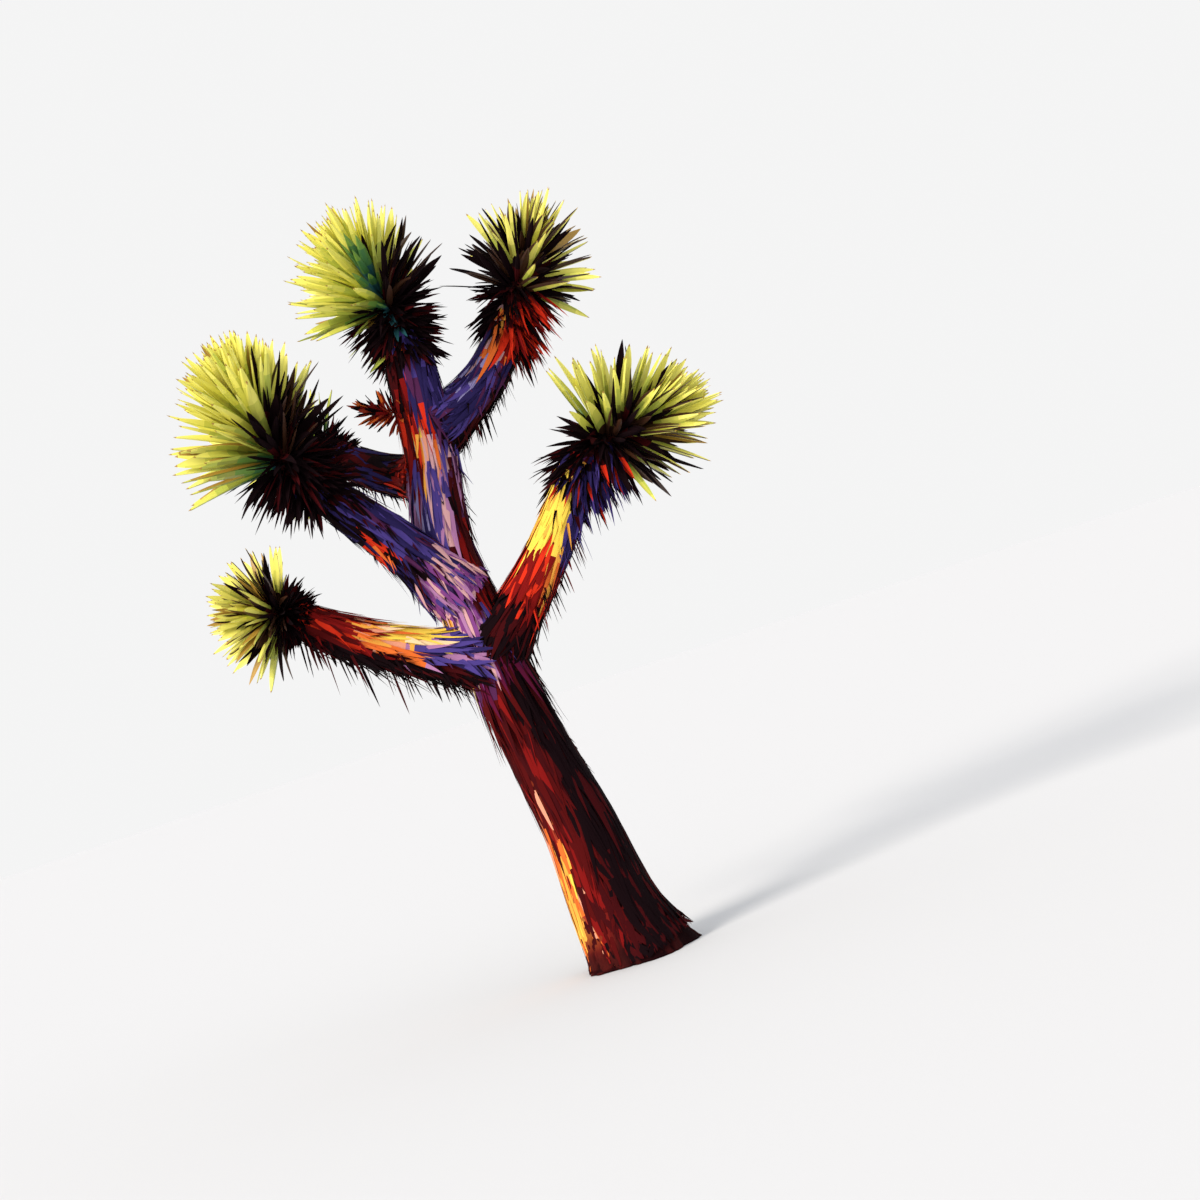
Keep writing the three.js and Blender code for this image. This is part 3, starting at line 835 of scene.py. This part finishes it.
def live_shades(head, leaf, dark, random):
    """The kinds of a head's live leaves, with painted light and shade. A leaf is painted lighter towards
    its tip, its edges and its back are painted darker than its upper side, and leaves that point to the
    light are painted lighter."""
    count, along = len(dark), leaf["along"]
    lit = along @ unit(head["lit"]) + LIGHT_CHANCE * random.normal(size=count)
    own = np.minimum(TONE_SQUARE + head["glow"] + TONE_BY_LIGHT * lit, head.get("brightest", TONE_MOST))
    own += TONE_LUCK * random.normal(size=count)
    low_darker, low_ochre = head.get("low", (0, 0))
    low = smoothstep(*LOW_EDGE, along @ DOWN)
    own -= low_darker * low
    along_it = TONE_ALONG * (np.array([*LIVE_BLADE["rings"][:-1], LAST_RING]) - TONE_PLACE)
    tone = own[:, None, None] + along_it[:, None] + np.array(PAINTED_SIDE_TONES)
    darkest = LIVE_RAMP.index(head.get("darkest", LIVE_RAMP[0]))
    shades = kinds(*LIVE_RAMP)[np.clip(np.round(tone), darkest, len(LIVE_RAMP) - 1).astype(int)]

    # Where the darkest greens are left out, leaves have a brown foot, painted shade at the head's middle,
    # and one brown edge, a leaf margin darkened as painted shade
    if darkest > 0:
        shades[:, :, 3] = KIND["margin_and_shade_brown"]
        shades[:, :3] = KIND["margin_and_shade_brown"]
    dry = (random.random(count) < head.get("dry", FEW_DRY)) & (lit > DRY_FROM)
    shades[dry, 3:, :3] = KIND["ochre"]
    shades[:, -1] = KIND["ochre"]
    luck = random.random(count)
    shades[luck < low_ochre * low, 2:8, :3] = KIND["ochre"]
    # Darkened leaves are painted shade: near black, some brown all over and some maroon at the foot
    shades[dark] = KIND["soot"]
    shades[dark & (luck < BROWN_SHARE)] = KIND["margin_and_shade_brown"]
    shades[dark & (luck > 1 - MAROON_SHARE), :5] = KIND["maroon"]
    streak = in_streak(head, leaf)
    for ring, colour in ((0, "blue_green"), (5, "deep_green"), (7, "leaf_green")):
        shades[streak, ring:] = KIND[colour]
    return shades


# Darkened leaves, painted shade, are also shorter, narrower and more curled: what is left of their length
# and of their width, and how much they curl.
# How far live leaves hang and curl, between which shares their widths lie, how much narrower the
# youngest are, and how far leaves twist, in radians
DARKENED_LENGTHS, DARKENED_WIDTH, DARKENED_CURL = (0.64, 1), 0.75, 0.13
LIVE_HANG, LIVE_CURL, LIVE_WIDTHS, YOUNG_NARROWER, LIVE_TWIST = 0.03, 0.07, (0.7, 1.4), 0.4, 0.35
# How far the leaves of a rosette and of a collar stand on past where one gives way to the other
ROSETTE_OVERLAP, COLLAR_OVERLAP = 0.02, 0.06


def rosette(name, head, random):
    """A head's live leaves, with the darkened ones of its shaded side painted in shade, on the upper part of
    its stem.
    """
    line, others = stem_part(name, head["collar"] - ROSETTE_OVERLAP, 1)
    size = head["size"]
    count = int(LIVE_COUNT * size**0.5)
    leaf = leaves_on(line, others, count, size, LIVE_HABIT, -head.get("rise", 0), random)
    dark = darkened(head, leaf["along"], random)
    leaf["length"] = leaf["length"] * np.where(dark, between(DARKENED_LENGTHS, random.random(count) ** 2), 1)
    shades = live_shades(head, leaf, dark, random)
    bow = bowed(leaf, LIVE_HANG, np.where(dark, DARKENED_CURL, LIVE_CURL), random)
    width = head["width"] * math.sqrt(size) * between(LIVE_WIDTHS, random.random(count) ** 1.5)
    width = width * (1 - YOUNG_NARROWER * leaf["share"] ** 2) * np.where(dark, DARKENED_WIDTH, 1)
    twist = random.normal(size=count) * LIVE_TWIST
    obj = leaf_mesh("rosette_" + name + "_leaves", LIVE_BLADE, leaf, width, bow, twist, shades)
    finished(obj, "live_leaves", "rosette_" + name)


# What is left of the length of dead leaves, between which shares their widths lie, how far they curl
# and twist, and how far they hang on a head without droop and how much more with it
DEAD_LENGTHS, DEAD_WIDTHS, DEAD_CURL, DEAD_TWIST = (0.72, 1), (0.7, 1.3), 0.10, 0.9
LEAST_HANG, DROOP_HANG = 0.10, 0.25
# The shares of them that are maroon all over and at the tip; the cosine of the lit side and the share
# that is pale there, as painted light; and from which cosine down a leaf hangs in the skirt
MAROON_LEAVES, MAROON_TIPS, PALE_FROM, PALE_SHARE, SKIRT_FROM = 0.14, 0.12, 0.2, 0.05, 0.45
# From which share of the collar up the streak runs on in it
STREAK_FOOT = 0.45


def collar(name, head, random):
    """A head's dead leaves, turned back from its stem and hanging where they have loosened."""
    line, others = stem_part(name, head.get("stands", 0), head["collar"] + COLLAR_OVERLAP)
    size = head["size"]
    count = int(DEAD_COUNT * size**0.5)
    habit = dict(DEAD_HABIT, lean=(head["back"], COLLAR_TOP_LEAN))
    leaf = leaves_on(line, others, count, size, habit, head["droop"], random)
    # The lowest are the oldest and have worn short
    worn = 1 - head["worn"] * (1 - leaf["share"])
    leaf["length"] = leaf["length"] * worn * between(DEAD_LENGTHS, random.random(count) ** 1.5)

    # Most are near black, painted shade under the head, some turn maroon, a few of the lit side are pale as
    # painted light, and the skirt has its own colours
    shades = np.tile(kinds("soot", "soot"), (count, 1))
    some = random.random(count)
    shades[some < MAROON_LEAVES + MAROON_TIPS] = kinds("soot", "maroon")
    shades[some < MAROON_LEAVES] = kinds("maroon", "maroon")
    pale = (leaf["along"] @ unit(head["lit"]) > PALE_FROM) & (random.random(count) < PALE_SHARE)
    shades[pale] = kinds("ochre", "lime")
    hanging = leaf["along"] @ DOWN > SKIRT_FROM
    for chance, colours in head.get("skirt", []):
        shades[hanging & (random.random(count) < chance)] = kinds(*colours.split())
    shades[in_streak(head, leaf) & (leaf["share"] > STREAK_FOOT)] = kinds("blue_green", "blue_green")

    bow = bowed(leaf, LEAST_HANG + DROOP_HANG * head["droop"], DEAD_CURL, random)
    width = DEAD_WIDTH * math.sqrt(size) * between(DEAD_WIDTHS, random.random(count))
    twist = random.normal(size=count) * DEAD_TWIST
    shades = over_rings(shades, 3)
    obj = leaf_mesh("collar_" + name + "_leaves", DEAD_BLADE, leaf, width, bow, twist, shades)
    finished(obj, "dead_leaves", "collar_" + name)


def side_shoot(random):
    """A small dry head on the trunk, its leaves near black in painted shade, red and rusty."""
    line = shoot_line.part(0.08, 1)
    leaf = leaves_on(line, list(head_lines.values()), SHOOT_COUNT, SHOOT["size"], SHOOT_HABIT, 0, random)
    shades = np.full((SHOOT_COUNT, len(LIVE_BLADE["rings"]), 1), KIND["soot"])
    some = random.random(SHOOT_COUNT)
    shades[some < 0.75, :6] = KIND["oxblood"]
    shades[some < 0.40, :] = KIND["brick"]
    shades[some < 0.20, 4:] = KIND["rust"]
    width = SHOOT_WIDTH * (0.75 + 0.5 * random.random(SHOOT_COUNT))
    bow = leaf["face"] * (0.08 * leaf["length"] * random.normal(size=SHOOT_COUNT))[:, None]
    twist = random.normal(size=SHOOT_COUNT) * 0.4
    obj = leaf_mesh("side_shoot_leaves", LIVE_BLADE, leaf, width, bow, twist, shades)
    finished(obj, "dead_leaves", "side_shoot")


# Limbs


def ring_mesh(name, rings):
    """A closed skin over rings of points, with a fan at each end."""
    rows, sides = rings.shape[:2]
    points = np.concatenate([rings.reshape(-1, 3), rings[0].mean(0)[None], rings[-1].mean(0)[None]])
    row, side = np.divmod(np.arange((rows - 1) * sides), sides)
    a, b = row * sides + side, row * sides + (side + 1) % sides
    quads = np.stack([a, b, b + sides, a + sides], 1)
    ring = np.arange(sides)
    following = (ring + 1) % sides
    top = (rows - 1) * sides
    foot_fan = np.stack([np.full(sides, rows * sides), following, ring], 1)
    top_fan = np.stack([np.full(sides, rows * sides + 1), top + ring, top + following], 1)
    loops = np.concatenate([quads.ravel(), foot_fan.ravel(), top_fan.ravel()])
    sizes = np.array([4] * len(quads) + [3] * (2 * sides))
    obj = mesh_from_arrays(name, points, loops, sizes)
    obj.data.materials.append(bark)
    return obj


# Where in its cell a plate's middle may lie; how far from the border of two plates, in cells, a fissure
# begins to rise and ends; how much fissures sway round and along the limb; and how much of the relief
# is the plates' own height, roughness and fissures
PLATE_PLACE, FISSURE_EDGE, SWAY_ROUND, SWAY_ALONG = (0.125, 0.875), (0.02, 0.26), 0.035, 0.8
PLATE_RISE, ROUGH_RISE, FISSURE_DROP = 0.5, 0.25, 0.9
FEWEST_PLATES_ROUND = 6


def plates(round_share, along_rows, columns, random):
    """Jittered plates on a grid that closes round the limb: how deep in a fissure each point lies, and
    the luck of the plate that it is on."""
    rows = int(along_rows.max()) + 3
    jitter = between(PLATE_PLACE, random.random((rows + 2, columns, 2)))
    luck = random.random((rows + 2, columns))
    u, v = round_share * columns, along_rows + 1
    column, row = np.floor(u).astype(int), np.floor(v).astype(int)
    nearest, second = np.full(u.shape, 9.0), np.full(u.shape, 9.0)
    plate_luck = np.zeros(u.shape)
    for step_column in (-1, 0, 1):
        for step_row in (-1, 0, 1):
            c, r = column + step_column, np.clip(row + step_row, 0, rows + 1)
            spot = jitter[r, c % columns]
            distance = np.hypot(u - c - spot[..., 0], v - r - spot[..., 1])
            closer = distance < nearest
            second = np.where(closer, nearest, np.minimum(second, distance))
            plate_luck = np.where(closer, luck[r, c % columns], plate_luck)
            nearest = np.where(closer, distance, nearest)
    return 1 - smoothstep(*FISSURE_EDGE, second - nearest), plate_luck


def relief(places, round_share, arc, radius, depth, plate, random):
    """How far the bark stands out at each point, and its fissures, for plates of a width and length."""
    columns = max(int(round(2 * math.pi * float(np.mean(radius)) / plate[0])), FEWEST_PLATES_ROUND)
    spots = [Vector(p) for p in places.reshape(-1, 3)]
    sway = np.array([noise.noise(p * FISSURE_SWAY) for p in spots]).reshape(arc.shape)
    fissure, luck = plates(
        round_share + SWAY_ROUND * sway, arc / plate[1] + SWAY_ALONG * sway, columns, random)
    rough = np.array([noise.fractal(p * BARK_ROUGHNESS, 1.0, 2.0, 4) for p in spots])
    rise = depth * (PLATE_RISE * luck + ROUGH_RISE * rough.reshape(arc.shape) - FISSURE_DROP * fissure)
    return rise, fissure


def bark_colour_and_shade_weights(obj, limb, place, facing, fissure):
    """Gives the bark mesh the weights that its finish reads: the painted shade of its fissures, and where
    each colour lies, painted light and shade among them.
    """
    extra = len(obj.data.vertices) - place.size

    def attach(name, values):
        values = np.concatenate([values.ravel(), np.zeros(extra)]).astype(np.float32)
        obj.data.attributes.new(name, "FLOAT", "POINT").data.foreach_set("value", values)

    attach("fissure", fissure * FISSURE_DARKNESS)
    place, facing = place.ravel(), facing.reshape(-1, 3)
    left = np.ones(len(place))
    weights = {family: np.zeros(len(place)) for family in BARK_FAMILIES}
    for patch in PATCHES[limb]:
        taken = left * membership(patch, place, facing, BARK_SOFT) * patch[4]
        colours = patch[5].split()
        for family, members in BARK_FAMILIES.items():
            weights[family] += taken * np.mean([colour in members for colour in colours])
        left -= taken
    for family, values in weights.items():
        attach(family, values)


def trunk_bark(random):
    """The trunk: level rings from its flat cut, as the solid has, with the relief of its plates."""
    rows, sides = 460, 132
    height = np.linspace(0, TRUNK_LINE[-1][2], rows)
    angle = np.arange(sides) / sides * 2 * math.pi
    rise_at, round_at = np.meshgrid(height, angle, indexing="ij")
    facing = np.stack([np.cos(round_at), np.sin(round_at), np.zeros_like(round_at)], -1)
    radius = trunk_radius(rise_at, round_at)
    centre = trunk_centre(height)[:, None]
    rise, fissure = relief(
        centre + facing * radius[..., None], round_at / (2 * math.pi), rise_at, radius,
        depth=0.011, plate=(0.036, 0.210), random=random,
    )
    points = centre + facing * (radius + rise)[..., None]
    points[0, :, 2] = 0
    obj = ring_mesh("trunk_bark", points)
    bark_colour_and_shade_weights(obj, "trunk", rise_at, facing, fissure)
    finished(obj, "bark", "trunk")


# A limb is its line, the colours of its patches, and how its radius and its place among the patches
# follow from the share of its length, the point on its line and the way outward.


def limb_bark(name, limb, patches, share, random, sides, depth, plate, nodes=()):
    """The bark of a bough or a stem: rings square to its line at these shares of its length, with the
    relief of its plates."""
    line = limb["line"]
    angle = np.arange(sides) / sides * 2 * math.pi
    share_at, round_at = np.meshgrid(share, angle, indexing="ij")
    centre, facing = line.at(share), line.outward(share_at, round_at)
    radius = limb["radius"](share, centre, facing)[:, None] + np.zeros(sides)
    centre = centre[:, None]
    rise, fissure = relief(
        centre + facing * radius[..., None], round_at / (2 * math.pi), share_at * line.length, radius,
        depth, plate, random,
    )
    obj = ring_mesh(name, centre + facing * (radius + rise)[..., None])
    bark_colour_and_shade_weights(obj, patches, share_at, facing, fissure)
    finished(obj, "bark", *nodes)


# How strips and loose blades vary round a limb, in radians, how strips stand off between their ends and
# how thick they are, and how far above the ground they end
ROUND_JITTER, STRIP_SWAY = 0.3, 0.22
STRIP_BULGE, STRIP_GAP, STRIP_THICKNESS = 0.004, 0.001, 0.003
OFF_GROUND = 0.002
# How a strip's lift grows towards its tip, and how much of it is sag; how far back towards the limb's
# foot strips may run, as a share of where they start; and how much chance there is in their place
LIFT_CURVE, LIFT_SAG, FOOT_SHARE, PLACE_CHANCE = 1.8, 0.5, 0.3, 0.02
# The chances that a strip has one colour all over, and that it keeps its colour within a patch
PLAIN_SHARE, KEEPS_COLOUR = 0.5, 0.8


def strips(name, limb, start, end, count, random, length, width, lift, layer):
    """Strips of fibre and pressed dead blades that run back along a limb from share to share, hugging
    it, placed by the golden angle. length and width are their least and most, lift is how far the tips
    of the flattest and the loosest stand off, and layer how thick they lie over one another."""
    line = limb["line"]
    top = start + (end - start) * (np.arange(count) + random.random(count)) / count
    angle = np.arange(count) * GOLDEN_ANGLE + random.normal(size=count) * ROUND_JITTER
    length = between(length, random.random(count))
    width = between(width, random.random(count))
    reach = np.array([*STRIP["rings"], 1.0])
    foot = np.maximum(top - length / line.length, FOOT_SHARE * start)
    share = top[:, None] + (foot - top)[:, None] * reach
    angles = angle[:, None] + (random.normal(size=count) * STRIP_SWAY)[:, None] * reach
    outward, centre = line.outward(share, angles), line.at(share)
    off = between(lift, random.random(count) ** 3)[:, None] * reach**LIFT_CURVE
    off += STRIP_BULGE * np.sin(math.pi * reach) + (STRIP_GAP + layer * random.random(count))[:, None]
    middle = centre + outward * (limb["radius"](share, centre, outward) + off)[..., None]
    middle = middle + DOWN * (LIFT_SAG * off * reach)[..., None]
    middle[..., 2] = np.maximum(middle[..., 2], OFF_GROUND + width[:, None] / 2)

    # Some strips are of one colour, and the others change where they come to another patch
    place = limb["place"](share, centre) + PLACE_CHANCE * random.normal(size=(count, 1))
    shades, sources = np.zeros((count, 3), int), np.zeros((count, 3), int)
    for third, ring in enumerate((1, 3, 5)):
        shades[:, third], sources[:, third] = deal_colours(
            limb["colours"], place[:, ring], outward[:, ring], middle[:, ring], random)
    for third in (1, 2):
        same = (sources[:, third] == sources[:, third - 1]) & (random.random(count) < KEEPS_COLOUR)
        shades[same, third] = shades[same, third - 1]
    plain = random.random(count) < PLAIN_SHARE
    shades[plain] = shades[plain, 1:2]
    faces = outward[:, : len(STRIP["rings"])]
    shades = over_rings(shades, [2, 2, 3])
    thick = np.full(count, STRIP_THICKNESS)
    obj = blade_mesh(name, STRIP, middle, faces, width, thick, np.zeros(count), shades)
    finished(obj, "dead_leaves")


# Loose blades: the side of a limb that they keep to, the chance of one elsewhere and how much more there
# is on that side, how they are pulled back, out and down and how much that varies, how far they stand
# out at least, how they sag, face and twist, and the share that has the colour of its patch
LOOSE_SIDE, LOOSE_CHANCE, LOOSE_MORE = (0.6, 0.1, -0.8), 0.12, 0.55
LOOSE_PULL, PULL_CHANCE, OUTWARD_PULL, LEAST_OUT = (0.35, 0.8, 0.5), 0.3, 0.6, 0.12
LOOSE_SAG, LOOSE_FACE_CHANCE, LOOSE_TWIST, OWN_COLOUR_SHARE = 0.2, 0.3, 0.5, 0.3


def fringe(name, limb, start, end, count, random, length, width):
    """Short dead blades that have come loose: they stand back and hang from a limb's under side and
    its edges. length and width are their least and most."""
    line = limb["line"]
    share = start + (end - start) * (np.arange(count) + random.random(count)) / count
    angle = np.arange(count) * GOLDEN_ANGLE + random.normal(size=count) * ROUND_JITTER
    tangent, outward = line.tangent(share), line.outward(share, angle)
    # They stay in clumps, most of them where the limb is shaded
    shaded = smoothstep(-0.5, 0.5, outward @ unit(LOOSE_SIDE))
    spots = line.at(share) + outward * 0.1
    clump = np.array([noise.noise(Vector(p) * LOOSE_CLUMPS) for p in spots]) * 0.8 + 0.5
    loose = 0.5 * random.random(count) + 0.5 * clump < LOOSE_CHANCE + LOOSE_MORE * shaded
    share, tangent, outward = share[loose], tangent[loose], outward[loose]
    count = len(share)
    centre = line.at(share)
    root = centre + outward * (limb["radius"](share, centre, outward) * 0.98)[:, None]

    # Each is pulled back along the limb, out from it and down, by its own amounts, but never into it.
    # A fourth number is drawn for each and not used.
    pull = np.array(LOOSE_PULL) + PULL_CHANCE * (random.random((count, 4))[:, :3] - 0.5)
    along = -tangent * pull[:, :1] + outward * pull[:, 1:2] * OUTWARD_PULL + DOWN * pull[:, 2:]
    inward = np.minimum(np.sum(along * outward, 1, keepdims=True), LEAST_OUT)
    along = unit(along + outward * (LEAST_OUT - inward))
    length = between(length, random.random(count) ** 2.5)
    width = between(width, random.random(count))
    # Some take the colour of their patch, and the rest are near black and maroon, painted shade under the
    # limb
    own, _ = deal_colours(limb["colours"], limb["place"](share, centre), outward, root, random)
    dark = kinds("soot", "soot", "maroon")[random.integers(0, 3, count)]
    shades = np.where(random.random(count) < OWN_COLOUR_SHARE, own, dark)[:, None, None]
    middle = straight_blades(DEAD_BLADE, root, along, length, DOWN * (LOOSE_SAG * length)[:, None])
    faces = unit(outward + LOOSE_FACE_CHANCE * random.normal(size=(count, 3)))[:, None]
    faces = np.repeat(faces, len(DEAD_BLADE["rings"]), axis=1)
    thick, twist = width * DEAD_BLADE["thickness"], random.normal(size=count) * LOOSE_TWIST
    obj = blade_mesh(name, DEAD_BLADE, middle, faces, width, thick, twist, shades)
    finished(obj, "dead_leaves")


def thatch_trunk(random):
    """Flat strips over the root flare and the foot, and above them thicker and looser ones and a fringe."""
    limb = dict(
        line=trunk_line, colours="trunk",
        radius=lambda share, centre, out: trunk_radius(centre[..., 2], np.arctan2(out[..., 1], out[..., 0])),
        place=lambda share, centre: centre[..., 2],
    )
    total = trunk_line.length
    strips("trunk_root_strips", limb, 0.025, 0.10, 220, random,
           length=(0.06, 0.16), width=(0.012, 0.030), lift=(0, 0.006), layer=0.003)
    strips("trunk_foot_strips", limb, 0.02, 1.45 / total, 860, random,
           length=(0.18, 0.50), width=(0.012, 0.034), lift=(0, 0.010), layer=0.003)
    strips("trunk_upper_strips", limb, 1.30 / total, 1.0, 1350, random,
           length=(0.14, 0.40), width=(0.012, 0.034), lift=(0.002, 0.034), layer=0.016)
    fringe("trunk_upper_fringe", limb, 0.75 / total, 1.0, 700, random,
           length=(0.015, 0.11), width=(0.005, 0.014))


def bough_limb(name, bough):
    return dict(
        line=bough_lines[name], colours=name,
        radius=lambda share, centre, out: bough_radius(bough, share) + fork_swell(centre),
        place=lambda share, centre: share,
    )


def bough_bark(name, bough, random):
    """A bough, swelling where it leaves the trunk."""
    limb = bough_limb(name, bough)
    ring_spacing = 0.0062
    share = np.linspace(0, 1, int(limb["line"].length / ring_spacing))
    limb_bark("bough_" + name + "_bark", limb, name, share, random,
              sides=84, depth=0.008, plate=(0.034, 0.150), nodes=["bough_" + name])


def thatch_bough(name, bough, random):
    limb = bough_limb(name, bough)
    strips("bough_" + name + "_strips", limb, 0.06, 1.0, bough["strips"], random,
           length=(0.10, 0.32), width=(0.012, 0.032), lift=(0.002, bough.get("loose", 0.028)), layer=0.013)
    ragged = bough.get("ragged", 1)
    fringe("bough_" + name + "_fringe", limb, 0.10, 1.0, int(bough["strips"] * 0.8), random,
           length=(0.02 * ragged, 0.14 * ragged), width=(0.005 * ragged, 0.015 * ragged))


def stem_limb(name, head):
    """A head's stem, which goes on with the colours of the limb that it ends."""
    on_trunk = name == "top"
    return dict(
        line=head_lines[name], colours="trunk" if on_trunk else name,
        radius=lambda share, centre, out: stem_radius(head, share),
        place=lambda share, centre: centre[..., 2] if on_trunk else 1 + 0.3 * share,
    )


def stem_bark(name, head, random):
    """The stem that a head's leaves stand on, rough with the feet of old ones."""
    limb_bark("stem_" + name, stem_limb(name, head), "head_stem", np.linspace(0, 0.95, 90), random,
              sides=48, depth=0.006, plate=(0.020, 0.030))


def thatch_stem(name, head, random):
    """The strips of a limb run on over the foot of its head's stem, until its leaves hide them."""
    end = head.get("stands", 0) + 0.25
    strips("stem_" + name + "_strips", stem_limb(name, head), 0.02, end, 130, random,
           length=(0.06, 0.14), width=(0.012, 0.028), lift=(0.002, 0.020), layer=0.010)


# Floor, light and camera


def stage():
    """A pale floor, 2 mm under the foot of the trunk."""
    bpy.ops.mesh.primitive_circle_add(vertices=96, radius=40, fill_type="NGON", location=(0, 0, -0.002))
    floor = bpy.context.object
    floor.name = "studio_floor"
    floor.data.materials.append(painted_plaster())


def daylight():
    """A bright even sky, and one broad warm light from the front left."""
    world = bpy.data.worlds.new("studio_air")
    bpy.context.scene.world = world
    world.use_nodes = True
    sky = world.node_tree.nodes["Background"]
    sky.inputs["Color"].default_value = linear("#fafafa")
    sky.inputs["Strength"].default_value = 0.95

    place = Vector((-5.6, -5.8, 4.4))
    lamp = bpy.data.lights.new("key_light", "SUN")
    lamp.energy, lamp.angle, lamp.color = 3.2, math.radians(22), linear("#fff5e8")[:3]
    light = bpy.data.objects.new("key_light", lamp)
    light.location = place
    light.rotation_euler = (-place).to_track_quat("-Z", "Y").to_euler()
    bpy.context.scene.collection.objects.link(light)


def viewpoint():
    """The camera, level in front of the tree and rolled with its right side down."""
    camera = bpy.data.objects.new("camera", bpy.data.cameras.new("camera"))
    camera.data.sensor_width = 36
    camera.data.lens = camera.data.sensor_width * VIEW_DISTANCE / VIEW_WIDTH
    camera.data.clip_end = 200
    right = Vector((math.cos(VIEW_ROLL), 0, -math.sin(VIEW_ROLL)))
    up = Vector((math.sin(VIEW_ROLL), 0, math.cos(VIEW_ROLL)))
    back = Vector((0, -1, 0))
    turn = Matrix((right, up, back)).transposed().to_4x4()
    camera.matrix_world = Matrix.Translation(VIEW_CENTRE + back * VIEW_DISTANCE) @ turn
    bpy.context.scene.collection.objects.link(camera)
    bpy.context.scene.camera = camera
    bpy.context.scene.view_settings.view_transform = "Standard"


stage()
daylight()
viewpoint()
# Every piece has random numbers of its own, from its own seed
trunk_bark(np.random.default_rng(101))
thatch_trunk(np.random.default_rng(102))
for number, (name, bough) in enumerate(BOUGHS.items()):
    bough_bark(name, bough, np.random.default_rng(110 + number))
    thatch_bough(name, bough, np.random.default_rng(120 + number))
for number, (name, head) in enumerate(HEADS.items()):
    stem_bark(name, head, np.random.default_rng(140 + number))
    thatch_stem(name, head, np.random.default_rng(150 + number))
    collar(name, head, np.random.default_rng(200 + number))
    rosette(name, head, np.random.default_rng(300 + number))
side_shoot(np.random.default_rng(400))
